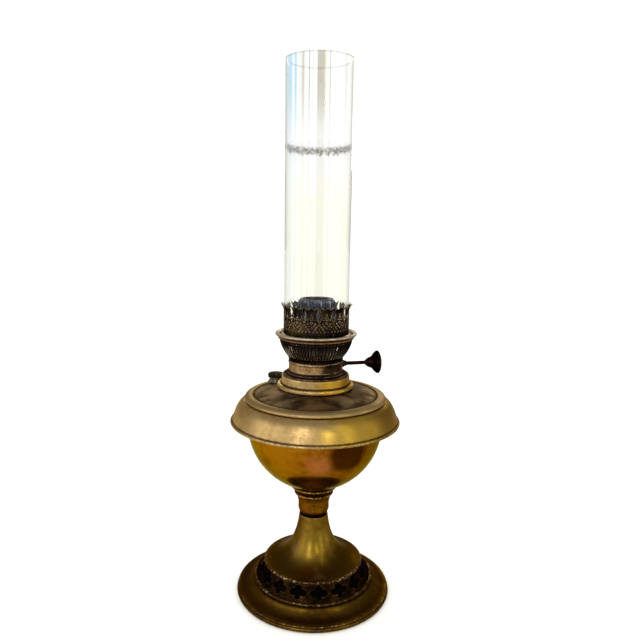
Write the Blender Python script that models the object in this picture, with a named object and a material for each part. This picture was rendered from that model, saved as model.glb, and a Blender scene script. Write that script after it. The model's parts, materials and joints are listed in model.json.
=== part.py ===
"""A brass table lamp for paraffin oil: foot, stem, bowl, burner with a round wick, and glass chimney.

The lamp stands on z = 0 with its axis on z. Every size below is in millimetres; a mesh is scaled to
metres when it is made. Spun sheet pieces are a path along their outer side, given a thickness.
"""

import math

import bmesh
import bpy
from mathutils import Matrix, Vector

MM = 0.001
GAP = 0.3
BIG, CROWN_STEPS, MEDIUM, SMALL = 30, 28, 20, 16

# Foot
FOOT_CURL_R = 83.3
FOOT_CURL = 2.6
FOOT_SHEET = 0.8
RING_R, RING_Z, RING_BEAD = 64.9, 18.4, 2.2
LEDGE_Z = 19.2
BAND_LOW = (62.2, 20.1)
BAND_HIGH = (53.0, 34.0)
BAND_SHEET = 0.9
BAND_OPENINGS = 16
BAND_TURN = -83.0
DOME_EDGE_R, DOME_EDGE_Z, DOME_EDGE_BEAD = 53.2, 36.2, 1.8
STEM_SHEET = 0.9
STEM_TOP_R, STEM_TOP_Z = 15.8, 91.6

# Tie rod
ROD_R = 3.0
ROD_LOW, ROD_HIGH = 6.4, 121.5
WEIGHT_LOW, WEIGHT_HIGH = 13.3, 24.0

# Bowl and its top
BOWL_R = 72.0
BOWL_CENTRE_Z = 196.0
BOWL_FLAT_R = 12.0
BOWL_SHEET = 0.8
BOWL_TOP_Z = 221.0
SKIRT_CURL_R, SKIRT_CURL_Z, SKIRT_CURL = 88.8, 200.6, 1.5
SKIRT_SHEET = 0.6
LAP_R = 73.1
SHOULDER_Z = 224.2
TOP_SHEET = 0.8
PLATE_HOLE_R = 37.4
FILLER_X, FILLER_Y = -44.1, 34.5
FILLER_R, FILLER_TOP = 7.0, 240.4
CAP_R, CAP_LOW, CAP_TOP = 8.8, 237.6, 242.6
COLLAR_BORE_R = 32.2
COLLAR_TOP_Z = 250.3

# Burner
BASE_FLOOR_Z = 243.0
NECK_R, NECK_LOW, NECK_TOP = 28.5, 255.9, 268.4
BASKET_SLOTS = 30
BASKET_TOP_Z = 292.4
CROWN_R, CROWN_SHEET = 33.8, 0.55
CROWN_LOW, CROWN_NOTCH_Z, CROWN_TOP = 293.2, 312.2, 324.6
CROWN_LEAVES = 14
CROWN_TURN = 4.9 - 90.0
DIFFUSER_HOLES = 14
SEAT_Z = 297.6
CHIMNEY_R, CHIMNEY_WALL = 33.0, 2.0
CHIMNEY_TOP_Z = 555.9

# Wick and its raiser
TUBE_R, TUBE_WALL = 18.3, 0.6
TUBE_LOW, TUBE_STEP_Z, TUBE_TOP = 232.0, 320.7, 329.9
DRAUGHT_R, DRAUGHT_WALL = 13.9, 0.5
DRAUGHT_LOW, DRAUGHT_TOP = 277.0, 328.6
WICK_INNER_R, WICK_OUTER_R = 14.2, 16.7
WICK_LOW, WICK_SLIT_Z, WICK_TOP = 150.0, 262.0, 330.4
WICK_RISE, WICK_DROP = 6.0, 8.0
DUCT_Z, DUCT_SIZE = 286.5, 9.0
SPINDLE_TURN = 15.0
SPINDLE_Z = 260.2
SPINDLE_R = 2.0
SPINDLE_IN, SPINDLE_OUT = 19.2, 66.0
PINION_TEETH, MODULE = 10, 0.8
PINION_R = PINION_TEETH * MODULE / 2
PINION_FROM, PINION_TO = 20.0, 24.0
RACK_LOW, RACK_HIGH = 252.8, 276.0
RACK_SIDE = PINION_R + 0.1
RACK_BACK = 7.0
ARM_LOW, ARM_HIGH = 268.0, 271.0
ARM_FROM, ARM_TO = RACK_BACK + GAP, RACK_BACK + GAP + 2.0


def clear_scene():
    for obj in list(bpy.data.objects):
        bpy.data.objects.remove(obj)


def finish(name, colour, roughness, metallic=1.0, alpha=1.0):
    """A plain material with the piece's own colour."""
    material = bpy.data.materials.new(name)
    material.use_nodes = True
    shader = material.node_tree.nodes["Principled BSDF"]
    shader.inputs["Base Color"].default_value = (*colour, 1.0)
    shader.inputs["Roughness"].default_value = roughness
    shader.inputs["Metallic"].default_value = metallic
    shader.inputs["Alpha"].default_value = alpha
    material.diffuse_color = (*colour, alpha)
    return material


def seat(name, x=0.0, y=0.0, z=0.0, turn=0.0, parent=None):
    """An empty that stands on the axis of a moving group."""
    empty = bpy.data.objects.new(name, None)
    bpy.context.collection.objects.link(empty)
    world = Matrix.Translation(Vector((x, y, z)) * MM) @ Matrix.Rotation(math.radians(turn), 4, "Z")
    empty.parent = parent
    empty.matrix_local = parent.matrix_world.inverted() @ world if parent else world
    bpy.context.view_layer.update()
    return empty


def new_piece(name, bm, material, holder, local=False):
    """Turns a bmesh in lamp millimetres, or in the holder's own when local, into a named piece."""
    bmesh.ops.recalc_face_normals(bm, faces=bm.faces[:])
    bmesh.ops.scale(bm, vec=(MM, MM, MM), verts=bm.verts[:])
    if not local:
        bmesh.ops.transform(bm, matrix=holder.matrix_world.inverted(), verts=bm.verts[:])
    mesh = bpy.data.meshes.new(name)
    bm.to_mesh(mesh)
    bm.free()
    mesh.shade_smooth()
    mesh.set_sharp_from_angle(angle=math.radians(34))
    mesh.materials.append(material)
    obj = bpy.data.objects.new(name, mesh)
    bpy.context.collection.objects.link(obj)
    obj.parent = holder
    return obj


def arc(r, z, radius, start, end, steps):
    """Points on a circle round (r, z), from one angle to another, in degrees from +r towards +z."""
    points = []
    for step in range(steps + 1):
        angle = math.radians(start + (end - start) * step / steps)
        points.append((r + radius * math.cos(angle), z + radius * math.sin(angle)))
    return points


def bezier(p0, p1, p2, p3, steps):
    """Points along a cubic curve from p0 to p3."""
    points = []
    for step in range(steps + 1):
        t = step / steps
        weights = ((1 - t) ** 3, 3 * t * (1 - t) ** 2, 3 * t * t * (1 - t), t**3)
        points.append(tuple(sum(w * p[i] for w, p in zip(weights, (p0, p1, p2, p3))) for i in (0, 1)))
    return points


def sheet(path, thickness):
    """The closed outline of a sheet whose outer side is the path; the metal lies to the path's left."""
    path = [Vector(point) for point in path]
    inner = []
    for index, point in enumerate(path):
        before = (point - path[index - 1]).normalized() if index else None
        after = (path[index + 1] - point).normalized() if index + 1 < len(path) else before
        before = before or after
        normal = Vector((-before.y - after.y, before.x + after.x)).normalized()
        reach = thickness / max(0.5, normal.dot(Vector((-after.y, after.x))))
        inner.append(point + normal * reach)
    return [tuple(p) for p in path] + [tuple(p) for p in reversed(inner)]


def turned_mesh(outline, steps):
    """The outline, in (radius, height), turned round z. It may start and end on the axis."""
    bm = bmesh.new()
    verts = [bm.verts.new((r, 0.0, z)) for r, z in outline]
    edges = [bm.edges.new(pair) for pair in zip(verts, verts[1:])]
    if outline[0][0] > 0 or outline[-1][0] > 0:
        edges.append(bm.edges.new((verts[-1], verts[0])))
    bmesh.ops.spin(bm, geom=verts + edges, cent=(0, 0, 0), axis=(0, 0, 1),
                   angle=2 * math.pi, steps=steps, use_merge=True)
    bmesh.ops.remove_doubles(bm, verts=bm.verts[:], dist=0.0001)
    return bm


def turned(name, outline, steps, material, holder):
    return new_piece(name, turned_mesh(outline, steps), material, holder)


def turned_on_spindle(name, outline, steps, material, holder):
    """A piece turned round the spindle: the outline is (radius, distance out from the lamp's axis)."""
    bm = turned_mesh(outline, steps)
    bmesh.ops.rotate(bm, verts=bm.verts[:], cent=(0, 0, 0), matrix=Matrix.Rotation(math.pi / 2, 3, "Y"))
    return new_piece(name, bm, material, holder, local=True)


def facing(azimuth, r, z, lean=0.0):
    """A frame on the lamp's surface: x along the rim, y up the surface, z outwards."""
    turn, tilt = math.radians(azimuth), math.radians(lean)
    radial = Vector((math.cos(turn), math.sin(turn), 0.0))
    along = Vector((-math.sin(turn), math.cos(turn), 0.0))
    up = Vector((0.0, 0.0, 1.0)) * math.cos(tilt) - radial * math.sin(tilt)
    frame = Matrix((along, up, along.cross(up))).transposed().to_4x4()
    return Matrix.Translation(radial * r + Vector((0.0, 0.0, z))) @ frame


def add_prism(bm, outline, depth, frame):
    """Adds an outline in the frame's x and y, as thick as depth across the frame's z = 0."""
    ends = []
    for level in (-depth / 2, depth / 2):
        ends.append([bm.verts.new(frame @ Vector((x, y, level))) for x, y in outline])
    count = len(outline)
    for index in range(count):
        after = (index + 1) % count
        bm.faces.new((ends[0][index], ends[0][after], ends[1][after], ends[1][index]))
    bm.faces.new(reversed(ends[0]))
    bm.faces.new(ends[1])


def add_box(bm, low, high):
    outline = [(low[0], low[1]), (high[0], low[1]), (high[0], high[1]), (low[0], high[1])]
    add_prism(bm, outline, high[2] - low[2], Matrix.Translation((0, 0, (low[2] + high[2]) / 2)))


def cut(piece, bm, label, local=False):
    """Removes the bmesh, in lamp millimetres or in the holder's own, from the piece."""
    cutter = new_piece(f"{piece.name}_{label}", bm, piece.data.materials[0], piece.parent, local)
    cutter.hide_render = True
    cutter.display_type = "WIRE"
    modifier = piece.modifiers.new(label, "BOOLEAN")
    modifier.operation = "DIFFERENCE"
    modifier.object = cutter


def join(piece, bm, label):
    """Adds the bmesh, in lamp millimetres, to the piece as one body."""
    cut(piece, bm, label)
    piece.modifiers[label].operation = "UNION"


def oval(width, height, steps):
    return [(width / 2 * math.cos(2 * math.pi * i / steps), height / 2 * math.sin(2 * math.pi * i / steps))
            for i in range(steps)]


def sphere_z(r, clearance=0.0):
    """Height of the underside of the round bowl at a radius."""
    return BOWL_CENTRE_Z - math.sqrt((BOWL_R + clearance) ** 2 - r * r)


# ---------------------------------------------------------------- foot and stem


def make_foot(brass, iron, steel, lamp):
    flat = FOOT_CURL * math.cos(math.radians(22.5))
    path = arc(FOOT_CURL_R, flat, FOOT_CURL, -202.5, 22.5, 5) + [(84.1, 6.2)]
    path += bezier((82.0, 7.5), (77.0, 8.6), (71.5, 10.4), (68.2, 15.0), 3)
    path += arc(RING_R, RING_Z, RING_BEAD, -50, 120, 3)
    path += [(62.6, LEDGE_Z), (59.5, LEDGE_Z)]
    turned("foot_shell", sheet(path, FOOT_SHEET), BIG, brass, lamp)

    wire = FOOT_CURL - FOOT_SHEET - GAP
    turned("foot_wire", arc(FOOT_CURL_R, flat, wire, 0, 270, 3), BIG, steel, lamp)

    weight = [(ROD_R + 0.6, WEIGHT_LOW), (62.0, WEIGHT_LOW), (62.0, LEDGE_Z - FOOT_SHEET - GAP),
              (52.0, LEDGE_Z - FOOT_SHEET - GAP), (40.0, WEIGHT_HIGH), (ROD_R + 0.6, WEIGHT_HIGH)]
    turned("foot_weight", weight, BIG, iron, lamp)


def make_pierced_band(brass, lamp):
    band = turned("pierced_band", sheet([BAND_LOW, BAND_HIGH], BAND_SHEET), 2 * BAND_OPENINGS, brass, lamp)
    middle_r = (BAND_LOW[0] + BAND_HIGH[0]) / 2
    middle_z = (BAND_LOW[1] + BAND_HIGH[1]) / 2
    lean = math.degrees(math.atan2(BAND_LOW[0] - BAND_HIGH[0], BAND_HIGH[1] - BAND_LOW[1]))
    openings = bmesh.new()
    for index in range(BAND_OPENINGS):
        azimuth = BAND_TURN + 360 * index / BAND_OPENINGS
        add_prism(openings, oval(14.5, 11.5, 8), 8.0, facing(azimuth, middle_r, middle_z, lean))
    cut(band, openings, "openings")


def make_stem(brass, lamp):
    path = [(50.5, 34.9)]
    path += arc(DOME_EDGE_R, DOME_EDGE_Z, DOME_EDGE_BEAD, -100, 100, 3)
    path += bezier((52.2, 38.0), (27.0, 44.0), (18.2, 66.0), (STEM_TOP_R, STEM_TOP_Z), 6)
    turned("stem", sheet(path, STEM_SHEET), BIG, brass, lamp)


def make_neck_collar(brass, lamp):
    spigot = STEM_TOP_R - STEM_SHEET - GAP - 0.3
    groove_z = STEM_TOP_Z + GAP
    path = [(spigot, 84.0), (spigot, groove_z), (14.9, groove_z), (14.9, 94.6), (15.7, 95.1)]
    path += [(16.4, 97.4), (16.9, 100.2), (16.5, 103.0), (16.9, 106.0), (18.0, 110.5), (18.6, 114.2)]
    path += arc(19.8, 117.2, 1.6, -50, 70, 2)
    path += [(22.6, 121.2)] + arc(24.3, 125.1, 1.1, -60, 90, 2)
    path += [(22.6, 126.0), (22.0, sphere_z(22.0, GAP)), (17.0, sphere_z(17.0, GAP))]
    path += [(13.2, 122.0), (13.2, 84.0)]
    turned("neck_collar", path, MEDIUM, brass, lamp)


def make_tie(brass, steel, lamp):
    """The rod that draws the bowl, stem, band and foot together."""
    turned("tie_rod", [(0.0, ROD_LOW), (ROD_R, ROD_LOW), (ROD_R, ROD_HIGH), (0.0, ROD_HIGH)],
           12, steel, lamp)
    bore = ROD_R + GAP
    washer_low = WEIGHT_LOW - GAP - 1.3
    turned("tie_washer", [(bore, washer_low), (10.0, washer_low), (10.0, WEIGHT_LOW - GAP),
                          (bore, WEIGHT_LOW - GAP)], SMALL, steel, lamp)
    nut_high = washer_low - GAP
    nut = turned("tie_nut", [(0.0, nut_high - 4.5), (6.35, nut_high - 4.5), (6.35, nut_high),
                             (0.0, nut_high)], 6, steel, lamp)
    cut(nut, turned_mesh([(0.0, 0.0), (bore, 0.0), (bore, 30.0), (0.0, 30.0)], 12), "bore")
    boss_top = sphere_z(BOWL_FLAT_R) - GAP
    turned("bowl_boss", [(0.0, 122.2), (bore, 122.2), (bore, 112.0), (9.0, 112.0), (9.0, 120.6),
                         (11.5, 122.0), (11.5, boss_top), (0.0, boss_top)], SMALL, brass, lamp)


# ---------------------------------------------------------------- bowl and top


def make_bowl(brass, lamp):
    low = math.degrees(math.acos(BOWL_FLAT_R / BOWL_R))
    outer = [(0.0, sphere_z(BOWL_FLAT_R))] + arc(0.0, BOWL_CENTRE_Z, BOWL_R, -low, 0, 5)
    outer += [(BOWL_R, BOWL_TOP_Z)]
    inner_r = BOWL_R - BOWL_SHEET
    inner = [(inner_r, BOWL_TOP_Z)] + arc(0.0, BOWL_CENTRE_Z, inner_r, 0, -low, 5)
    inner += [(0.0, inner[-1][1])]
    turned("bowl", outer + inner, BIG, brass, lamp)


def make_skirt(brass, steel, lamp):
    path = arc(SKIRT_CURL_R, SKIRT_CURL_Z, SKIRT_CURL, -215, 60, 4)
    path += bezier((88.2, 202.9), (85.5, 208.0), (83.4, 220.5), (75.6, 223.4), 4)
    path += [(LAP_R + 0.4, 223.7)]
    turned("skirt", sheet(path, SKIRT_SHEET), BIG, brass, lamp)
    wire = SKIRT_CURL - SKIRT_SHEET - GAP
    turned("skirt_wire", arc(SKIRT_CURL_R, SKIRT_CURL_Z, wire, 0, 270, 3), BIG, steel, lamp)


def make_reservoir_top(brass, lamp):
    path = [(LAP_R, 214.5), (LAP_R, SHOULDER_Z), (74.5, 224.6)]
    path += bezier((74.9, 225.4), (74.4, 228.0), (71.5, 229.8), (68.0, 229.9), 3)
    path += [(65.6, 228.7), (60.0, 230.0), (50.0, 233.3), (PLATE_HOLE_R, 236.9)]
    top = turned("reservoir_top", sheet(path, TOP_SHEET), BIG, brass, lamp)
    reach = FILLER_R + 0.4
    hole = turned_mesh([(0.0, 220.0), (reach, 220.0), (reach, 240.0), (0.0, 240.0)], SMALL)
    bmesh.ops.translate(hole, vec=(FILLER_X, FILLER_Y, 0.0), verts=hole.verts[:])
    cut(top, hole, "filler_hole")


def on_filler(name, outline, material, holder):
    bm = turned_mesh(outline, SMALL)
    bmesh.ops.translate(bm, vec=(FILLER_X, FILLER_Y, 0.0), verts=bm.verts[:])
    return new_piece(name, bm, material, holder)


def make_filler(brass, leather, lamp, cap_seat):
    bore = FILLER_R - 1.1
    on_filler("filler_neck", [(bore, 226.0), (FILLER_R, 226.0), (FILLER_R, FILLER_TOP), (bore, FILLER_TOP)],
              brass, lamp)
    skin = 1.0
    on_filler("filler_cap", [(FILLER_R + GAP, CAP_LOW), (CAP_R, CAP_LOW), (CAP_R, CAP_TOP - 0.8),
                             (CAP_R - 0.9, CAP_TOP), (0.0, CAP_TOP + 0.3), (0.0, CAP_TOP - skin),
                             (FILLER_R + GAP, CAP_TOP - skin)], brass, cap_seat)
    washer_low = FILLER_TOP + GAP
    on_filler("filler_washer", [(0.0, washer_low), (FILLER_R - 0.1, washer_low),
                                (FILLER_R - 0.1, washer_low + 0.5), (0.0, washer_low + 0.5)], leather, cap_seat)


def make_burner_collar(brass, lamp):
    bore = COLLAR_BORE_R
    outline = [(bore, 232.5), (36.9, 232.5), (36.9, 237.2), (39.6, 237.2), (40.6, 238.2), (40.6, 240.0),
               (39.9, 241.3), (36.4, 241.7), (35.9, 249.9), (35.2, COLLAR_TOP_Z), (bore, COLLAR_TOP_Z)]
    turned("burner_collar", outline, BIG, brass, lamp)


# ---------------------------------------------------------------- burner


def make_burner_shell(dark, brass, burner):
    spigot = COLLAR_BORE_R - 0.5
    lip = COLLAR_TOP_Z + GAP
    floor_top = BASE_FLOOR_Z + 1.2
    upstand = NECK_R - 0.6 - GAP
    base = [(spigot, 236.0), (spigot, lip), (34.4, lip), (34.6, 251.3), (33.6, 252.1), (31.6, 252.4),
            (31.2, 253.5), (30.2, 254.4), (28.8, NECK_LOW - GAP), (upstand, NECK_LOW - GAP),
            (upstand, 257.0), (upstand - 0.8, 257.0), (upstand - 0.8, floor_top),
            (TUBE_R + GAP, floor_top), (TUBE_R + GAP, BASE_FLOOR_Z), (30.6, BASE_FLOOR_Z), (30.6, 236.0)]
    turned("burner_base", base, MEDIUM, dark, burner)

    path = [(NECK_R, NECK_LOW), (NECK_R, 265.0), (NECK_R + 0.4, 265.5), (NECK_R + 0.1, 266.1),
            (NECK_R + 0.4, NECK_TOP)]
    neck = turned("burner_neck", sheet(path, 0.6), MEDIUM, brass, burner)
    hole = bmesh.new()
    add_prism(hole, oval(6.2, 6.2, 12), 20.0, facing(SPINDLE_TURN, NECK_R, SPINDLE_Z))
    cut(neck, hole, "gland_hole")


def make_air_basket(dark, burner):
    path = [(29.3, NECK_TOP + GAP), (31.0, 272.0), (35.6, 278.0), (37.7, 284.5), (38.2, BASKET_TOP_Z)]
    basket = turned("air_basket", sheet(path, 0.6), BIG, dark, burner)
    slots = bmesh.new()
    for index in range(BASKET_SLOTS):
        azimuth = 360 * (index + 0.5) / BASKET_SLOTS
        add_prism(slots, [(-0.9, -6.6), (0.9, -6.6), (0.9, 6.6), (-0.9, 6.6)], 9.0,
                  facing(azimuth, 35.0, 278.3, -26))
    cut(basket, slots, "slots")


def make_gallery(dark, burner):
    path = [(39.5, 289.6), (39.6, 291.0)] + arc(40.7, 294.1, 1.6, -60, 100, 3)
    path += [(37.4, 294.4), (CROWN_R + 0.4, 294.4)]
    turned("gallery_flange", sheet(path, 0.7), BIG, dark, burner)

    inside = CROWN_R - CROWN_SHEET
    seat_in = CHIMNEY_R - CHIMNEY_WALL + 0.2
    wall = [(CROWN_R, CROWN_LOW), (CROWN_R, 320.5), (CROWN_R + 0.9, CROWN_TOP),
            (inside + 0.9, CROWN_TOP), (inside, 320.5), (inside, SEAT_Z), (seat_in, SEAT_Z),
            (seat_in, SEAT_Z - 0.6), (inside, SEAT_Z - 0.6), (inside, CROWN_LOW)]
    crown = turned("crown", wall, CROWN_STEPS, dark, burner)
    rise = CROWN_TOP - CROWN_NOTCH_Z
    notch = [(0.0, 0.0), (2.2, 2.6), (2.4, 6.0), (1.7, 9.0), (3.4, rise + 1.5),
             (-3.4, rise + 1.5), (-1.7, 9.0), (-2.4, 6.0), (-2.2, 2.6)]
    notches = bmesh.new()
    for index in range(CROWN_LEAVES):
        azimuth = CROWN_TURN + 360 * index / CROWN_LEAVES
        add_prism(notches, notch, 6.0, facing(azimuth, CROWN_R, CROWN_NOTCH_Z))
    cut(crown, notches, "notches")

    plate_out = inside - GAP
    plate = [(TUBE_R + GAP, 294.0), (plate_out, 294.0), (plate_out, 294.7), (TUBE_R + GAP, 294.7)]
    diffuser = turned("diffuser_plate", plate, CROWN_STEPS, dark, burner)
    holes = bmesh.new()
    for index in range(DIFFUSER_HOLES):
        turn = Matrix.Rotation(2 * math.pi * (index + 0.5) / DIFFUSER_HOLES, 4, "Z")
        add_prism(holes, oval(5.0, 5.0, 6), 4.0, turn @ Matrix.Translation((26.0, 0, 294.0)))
    cut(diffuser, holes, "air_holes")


def make_chimney(glass, holder):
    inner = CHIMNEY_R - CHIMNEY_WALL
    low = SEAT_Z + GAP
    edge = 0.5
    outline = [(inner, low), (CHIMNEY_R, low), (CHIMNEY_R, CHIMNEY_TOP_Z - edge),
               (CHIMNEY_R - edge, CHIMNEY_TOP_Z), (inner + edge, CHIMNEY_TOP_Z),
               (inner, CHIMNEY_TOP_Z - edge)]
    turned("chimney", outline, CROWN_STEPS, glass, holder)


# ---------------------------------------------------------------- wick and raiser


def make_wick_tubes(steel, brass, burner):
    inside = TUBE_R - TUBE_WALL
    outline = [(TUBE_R, TUBE_LOW), (TUBE_R, TUBE_STEP_Z), (19.0, TUBE_STEP_Z + 0.3), (19.0, 327.6),
               (17.6, TUBE_TOP), (17.3, 329.3), (18.3, 327.3), (18.3, TUBE_STEP_Z + 0.6),
               (inside, TUBE_STEP_Z), (inside, TUBE_LOW)]
    tube = turned("outer_wick_tube", outline, MEDIUM, steel, burner)
    windows = bmesh.new()
    spindle_frame = Matrix.Rotation(math.radians(SPINDLE_TURN), 4, "Z")
    low = ARM_LOW - WICK_DROP - 0.6
    high = ARM_HIGH + WICK_RISE + 0.6
    slot = [(12.0, ARM_FROM - 0.5), (20.5, ARM_FROM - 0.5), (20.5, ARM_TO + 0.5), (12.0, ARM_TO + 0.5)]
    add_prism(windows, slot, high - low, spindle_frame @ Matrix.Translation((0, 0, (low + high) / 2)))
    half = DUCT_SIZE / 2 + 0.4
    duct_hole = [(-half, -half), (half, -half), (half, half), (-half, half)]
    add_prism(windows, duct_hole, 8.0, facing(SPINDLE_TURN + 180, TUBE_R, DUCT_Z))
    cut(tube, windows, "windows")

    bore = DRAUGHT_R - DRAUGHT_WALL
    inner_tube = [(0.0, DRAUGHT_LOW), (DRAUGHT_R, DRAUGHT_LOW), (DRAUGHT_R, DRAUGHT_TOP),
                  (bore, DRAUGHT_TOP), (bore, DRAUGHT_LOW + 0.8), (0.0, DRAUGHT_LOW + 0.8)]
    draught = turned("draught_tube", inner_tube, MEDIUM, brass, burner)
    half = DUCT_SIZE / 2
    frame = facing(SPINDLE_TURN + 180, 17.1, DUCT_Z)
    duct = bmesh.new()
    add_prism(duct, [(-half, -half), (half, -half), (half, half), (-half, half)], 8.8, frame)
    join(draught, duct, "duct")
    half -= 0.6
    passage = bmesh.new()
    add_prism(passage, [(-half, -half), (half, -half), (half, half), (-half, half)], 12.0, frame)
    cut(draught, passage, "passage")


def make_wick(cotton, wick_seat):
    outline = [(WICK_INNER_R, WICK_LOW), (WICK_OUTER_R, WICK_LOW), (WICK_OUTER_R, WICK_TOP - 0.9),
               (WICK_OUTER_R - 0.8, WICK_TOP), (WICK_INNER_R + 0.8, WICK_TOP), (WICK_INNER_R, WICK_TOP - 0.9)]
    wick = turned("wick", outline, MEDIUM, cotton, wick_seat)
    slits = bmesh.new()
    for index in range(3):
        azimuth = SPINDLE_TURN + 180 + 120 * index
        low, high = WICK_LOW - 2.0, WICK_SLIT_Z
        half = 8.0
        add_prism(slits, [(-half, low), (half, low), (half, high), (-half, high)], 12.0,
                  facing(azimuth, 15.5, 0.0))
    low = DUCT_Z - DUCT_SIZE / 2 - WICK_RISE - 0.6
    high = DUCT_Z + DUCT_SIZE / 2 + WICK_DROP + 0.6
    half = DUCT_SIZE / 2 + 0.6
    add_prism(slits, [(-half, low), (half, low), (half, high), (-half, high)], 8.0,
              facing(SPINDLE_TURN + 180, 15.5, 0.0))
    cut(wick, slits, "slits")


def make_wick_carrier(brass, wick_seat):
    sleeve = [(WICK_OUTER_R + GAP, 263.0), (17.4, 263.0), (17.4, 275.0), (WICK_OUTER_R + GAP, 275.0)]
    carrier = turned("wick_carrier", sleeve, MEDIUM, brass, wick_seat)
    arm = bmesh.new()
    add_box(arm, (13.5, ARM_FROM, ARM_LOW), (23.6, ARM_TO, ARM_HIGH))
    bmesh.ops.rotate(arm, verts=arm.verts[:], cent=(0, 0, 0),
                     matrix=Matrix.Rotation(math.radians(SPINDLE_TURN), 3, "Z"))
    join(carrier, arm, "arm")
    cut(carrier, turned_mesh([(0.0, 262.0), (WICK_OUTER_R + GAP, 262.0), (WICK_OUTER_R + GAP, 277.0),
                              (0.0, 277.0)], MEDIUM), "bore")


def make_rack_and_pinion(brass, steel, wick_seat, knob_seat):
    """The rack stands beside the pinion, tooth to gap at rest, and one turns or lifts with the other."""
    pitch = math.pi * MODULE
    tip, root = RACK_SIDE - 0.6, RACK_SIDE + 0.85
    profile = []
    first = math.ceil((RACK_LOW + 0.8 - SPINDLE_Z) / pitch - 0.5)
    last = math.floor((RACK_HIGH - 0.8 - SPINDLE_Z) / pitch + 0.5)
    for index in range(first, last):
        middle = SPINDLE_Z + (index + 0.5) * pitch
        profile += [(root, middle - 0.78), (tip, middle - 0.27), (tip, middle + 0.27), (root, middle + 0.78)]
    outline = [(RACK_BACK, RACK_LOW), (root, RACK_LOW)] + profile
    outline += [(root, RACK_HIGH), (RACK_BACK, RACK_HIGH)]
    rack = bmesh.new()
    # The outline's x runs along the spindle frame's y, and its y is the height.
    frame = Matrix(((0, 0, 1, 22.0), (1, 0, 0, 0), (0, 1, 0, 0), (0, 0, 0, 1)))
    add_prism(rack, outline, 3.2, Matrix.Rotation(math.radians(SPINDLE_TURN), 4, "Z") @ frame)
    new_piece("rack", rack, brass, wick_seat)

    gear = []
    for tooth in range(PINION_TEETH):
        middle = 2 * math.pi * tooth / PINION_TEETH
        for radius, side in ((3.1, -0.17), (3.9, -0.125), (4.65, -0.055), (4.65, 0.055), (3.9, 0.125),
                             (3.1, 0.17)):
            gear.append((radius * math.cos(middle + side), radius * math.sin(middle + side)))
    pinion = bmesh.new()
    frame = Matrix(((0, 0, 1, (PINION_FROM + PINION_TO) / 2), (1, 0, 0, 0), (0, 1, 0, 0), (0, 0, 0, 1)))
    add_prism(pinion, gear, PINION_TO - PINION_FROM, frame)
    piece = new_piece("pinion", pinion, steel, knob_seat, local=True)
    bore = bmesh.new()
    add_prism(bore, oval(2 * (SPINDLE_R + GAP), 2 * (SPINDLE_R + GAP), 12), 8.0, frame)
    cut(piece, bore, "bore", local=True)


def make_spindle(steel, dark, burner, knob_seat):
    turned_on_spindle("spindle", [(0.0, SPINDLE_IN), (SPINDLE_R, SPINDLE_IN), (SPINDLE_R, SPINDLE_OUT),
                                  (0.0, SPINDLE_OUT)], 12, steel, knob_seat)
    bore = SPINDLE_R + GAP
    knob = [(bore, 55.2), (3.2, 55.2)] + bezier((4.2, 57.0), (7.4, 60.4), (7.0, 63.4), (11.2, 66.6), 4)
    knob += arc(11.0, 68.7, 1.3, -20, 100, 3) + [(8.0, 70.4), (0.0, 70.9), (0.0, SPINDLE_OUT + GAP),
                                                 (bore, SPINDLE_OUT + GAP)]
    turned_on_spindle("knob", knob, SMALL, dark, knob_seat)
    running = SPINDLE_R + 0.15
    shank, flange = 2.9, 4.0
    gland = [(running, 25.2), (shank, 25.2), (shank, 29.2), (flange, 29.2), (flange, 30.6), (3.1, 31.4),
             (2.8, 33.4), (running, 33.4)]
    bm = turned_mesh(gland, 12)
    bmesh.ops.rotate(bm, verts=bm.verts[:], cent=(0, 0, 0), matrix=Matrix.Rotation(math.pi / 2, 3, "Y"))
    bmesh.ops.rotate(bm, verts=bm.verts[:], cent=(0, 0, 0),
                     matrix=Matrix.Rotation(math.radians(SPINDLE_TURN), 3, "Z"))
    bmesh.ops.translate(bm, vec=(0, 0, SPINDLE_Z), verts=bm.verts[:])
    new_piece("spindle_gland", bm, dark, burner)


def main():
    clear_scene()
    brass = finish("aged_brass", (0.36, 0.22, 0.06), 0.32)
    golden = finish("golden_brass", (0.55, 0.35, 0.10), 0.24)
    dark = finish("dark_brass", (0.10, 0.07, 0.04), 0.42)
    steel = finish("dull_steel", (0.16, 0.16, 0.17), 0.40)
    iron = finish("cast_iron", (0.06, 0.06, 0.06), 0.70)
    leather = finish("leather", (0.28, 0.17, 0.09), 0.90, 0.0)
    cotton = finish("cotton", (0.10, 0.09, 0.08), 0.95, 0.0)
    glass = finish("glass", (0.93, 0.93, 0.88), 0.05, 0.0, 0.3)

    lamp = seat("lamp")
    cap_seat = seat("filler_cap_seat", FILLER_X, FILLER_Y, FILLER_TOP, parent=lamp)
    burner = seat("burner_seat", z=COLLAR_TOP_Z, parent=lamp)
    wick_seat = seat("wick_seat", z=SPINDLE_Z, parent=burner)
    knob_seat = seat("knob_axis", z=SPINDLE_Z, turn=SPINDLE_TURN, parent=burner)
    chimney_seat = seat("chimney_seat", z=SEAT_Z, parent=burner)

    make_foot(brass, iron, steel, lamp)
    make_pierced_band(dark, lamp)
    make_stem(brass, lamp)
    make_neck_collar(golden, lamp)
    make_tie(brass, steel, lamp)
    make_bowl(golden, lamp)
    make_skirt(brass, steel, lamp)
    make_reservoir_top(dark, lamp)
    make_filler(brass, leather, lamp, cap_seat)
    make_burner_collar(golden, lamp)
    make_burner_shell(dark, brass, burner)
    make_air_basket(dark, burner)
    make_gallery(dark, burner)
    make_chimney(glass, chimney_seat)
    make_wick_tubes(steel, brass, burner)
    make_wick(cotton, wick_seat)
    make_wick_carrier(brass, wick_seat)
    make_rack_and_pinion(brass, steel, wick_seat, knob_seat)
    make_spindle(steel, dark, burner, knob_seat)


main()
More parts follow.
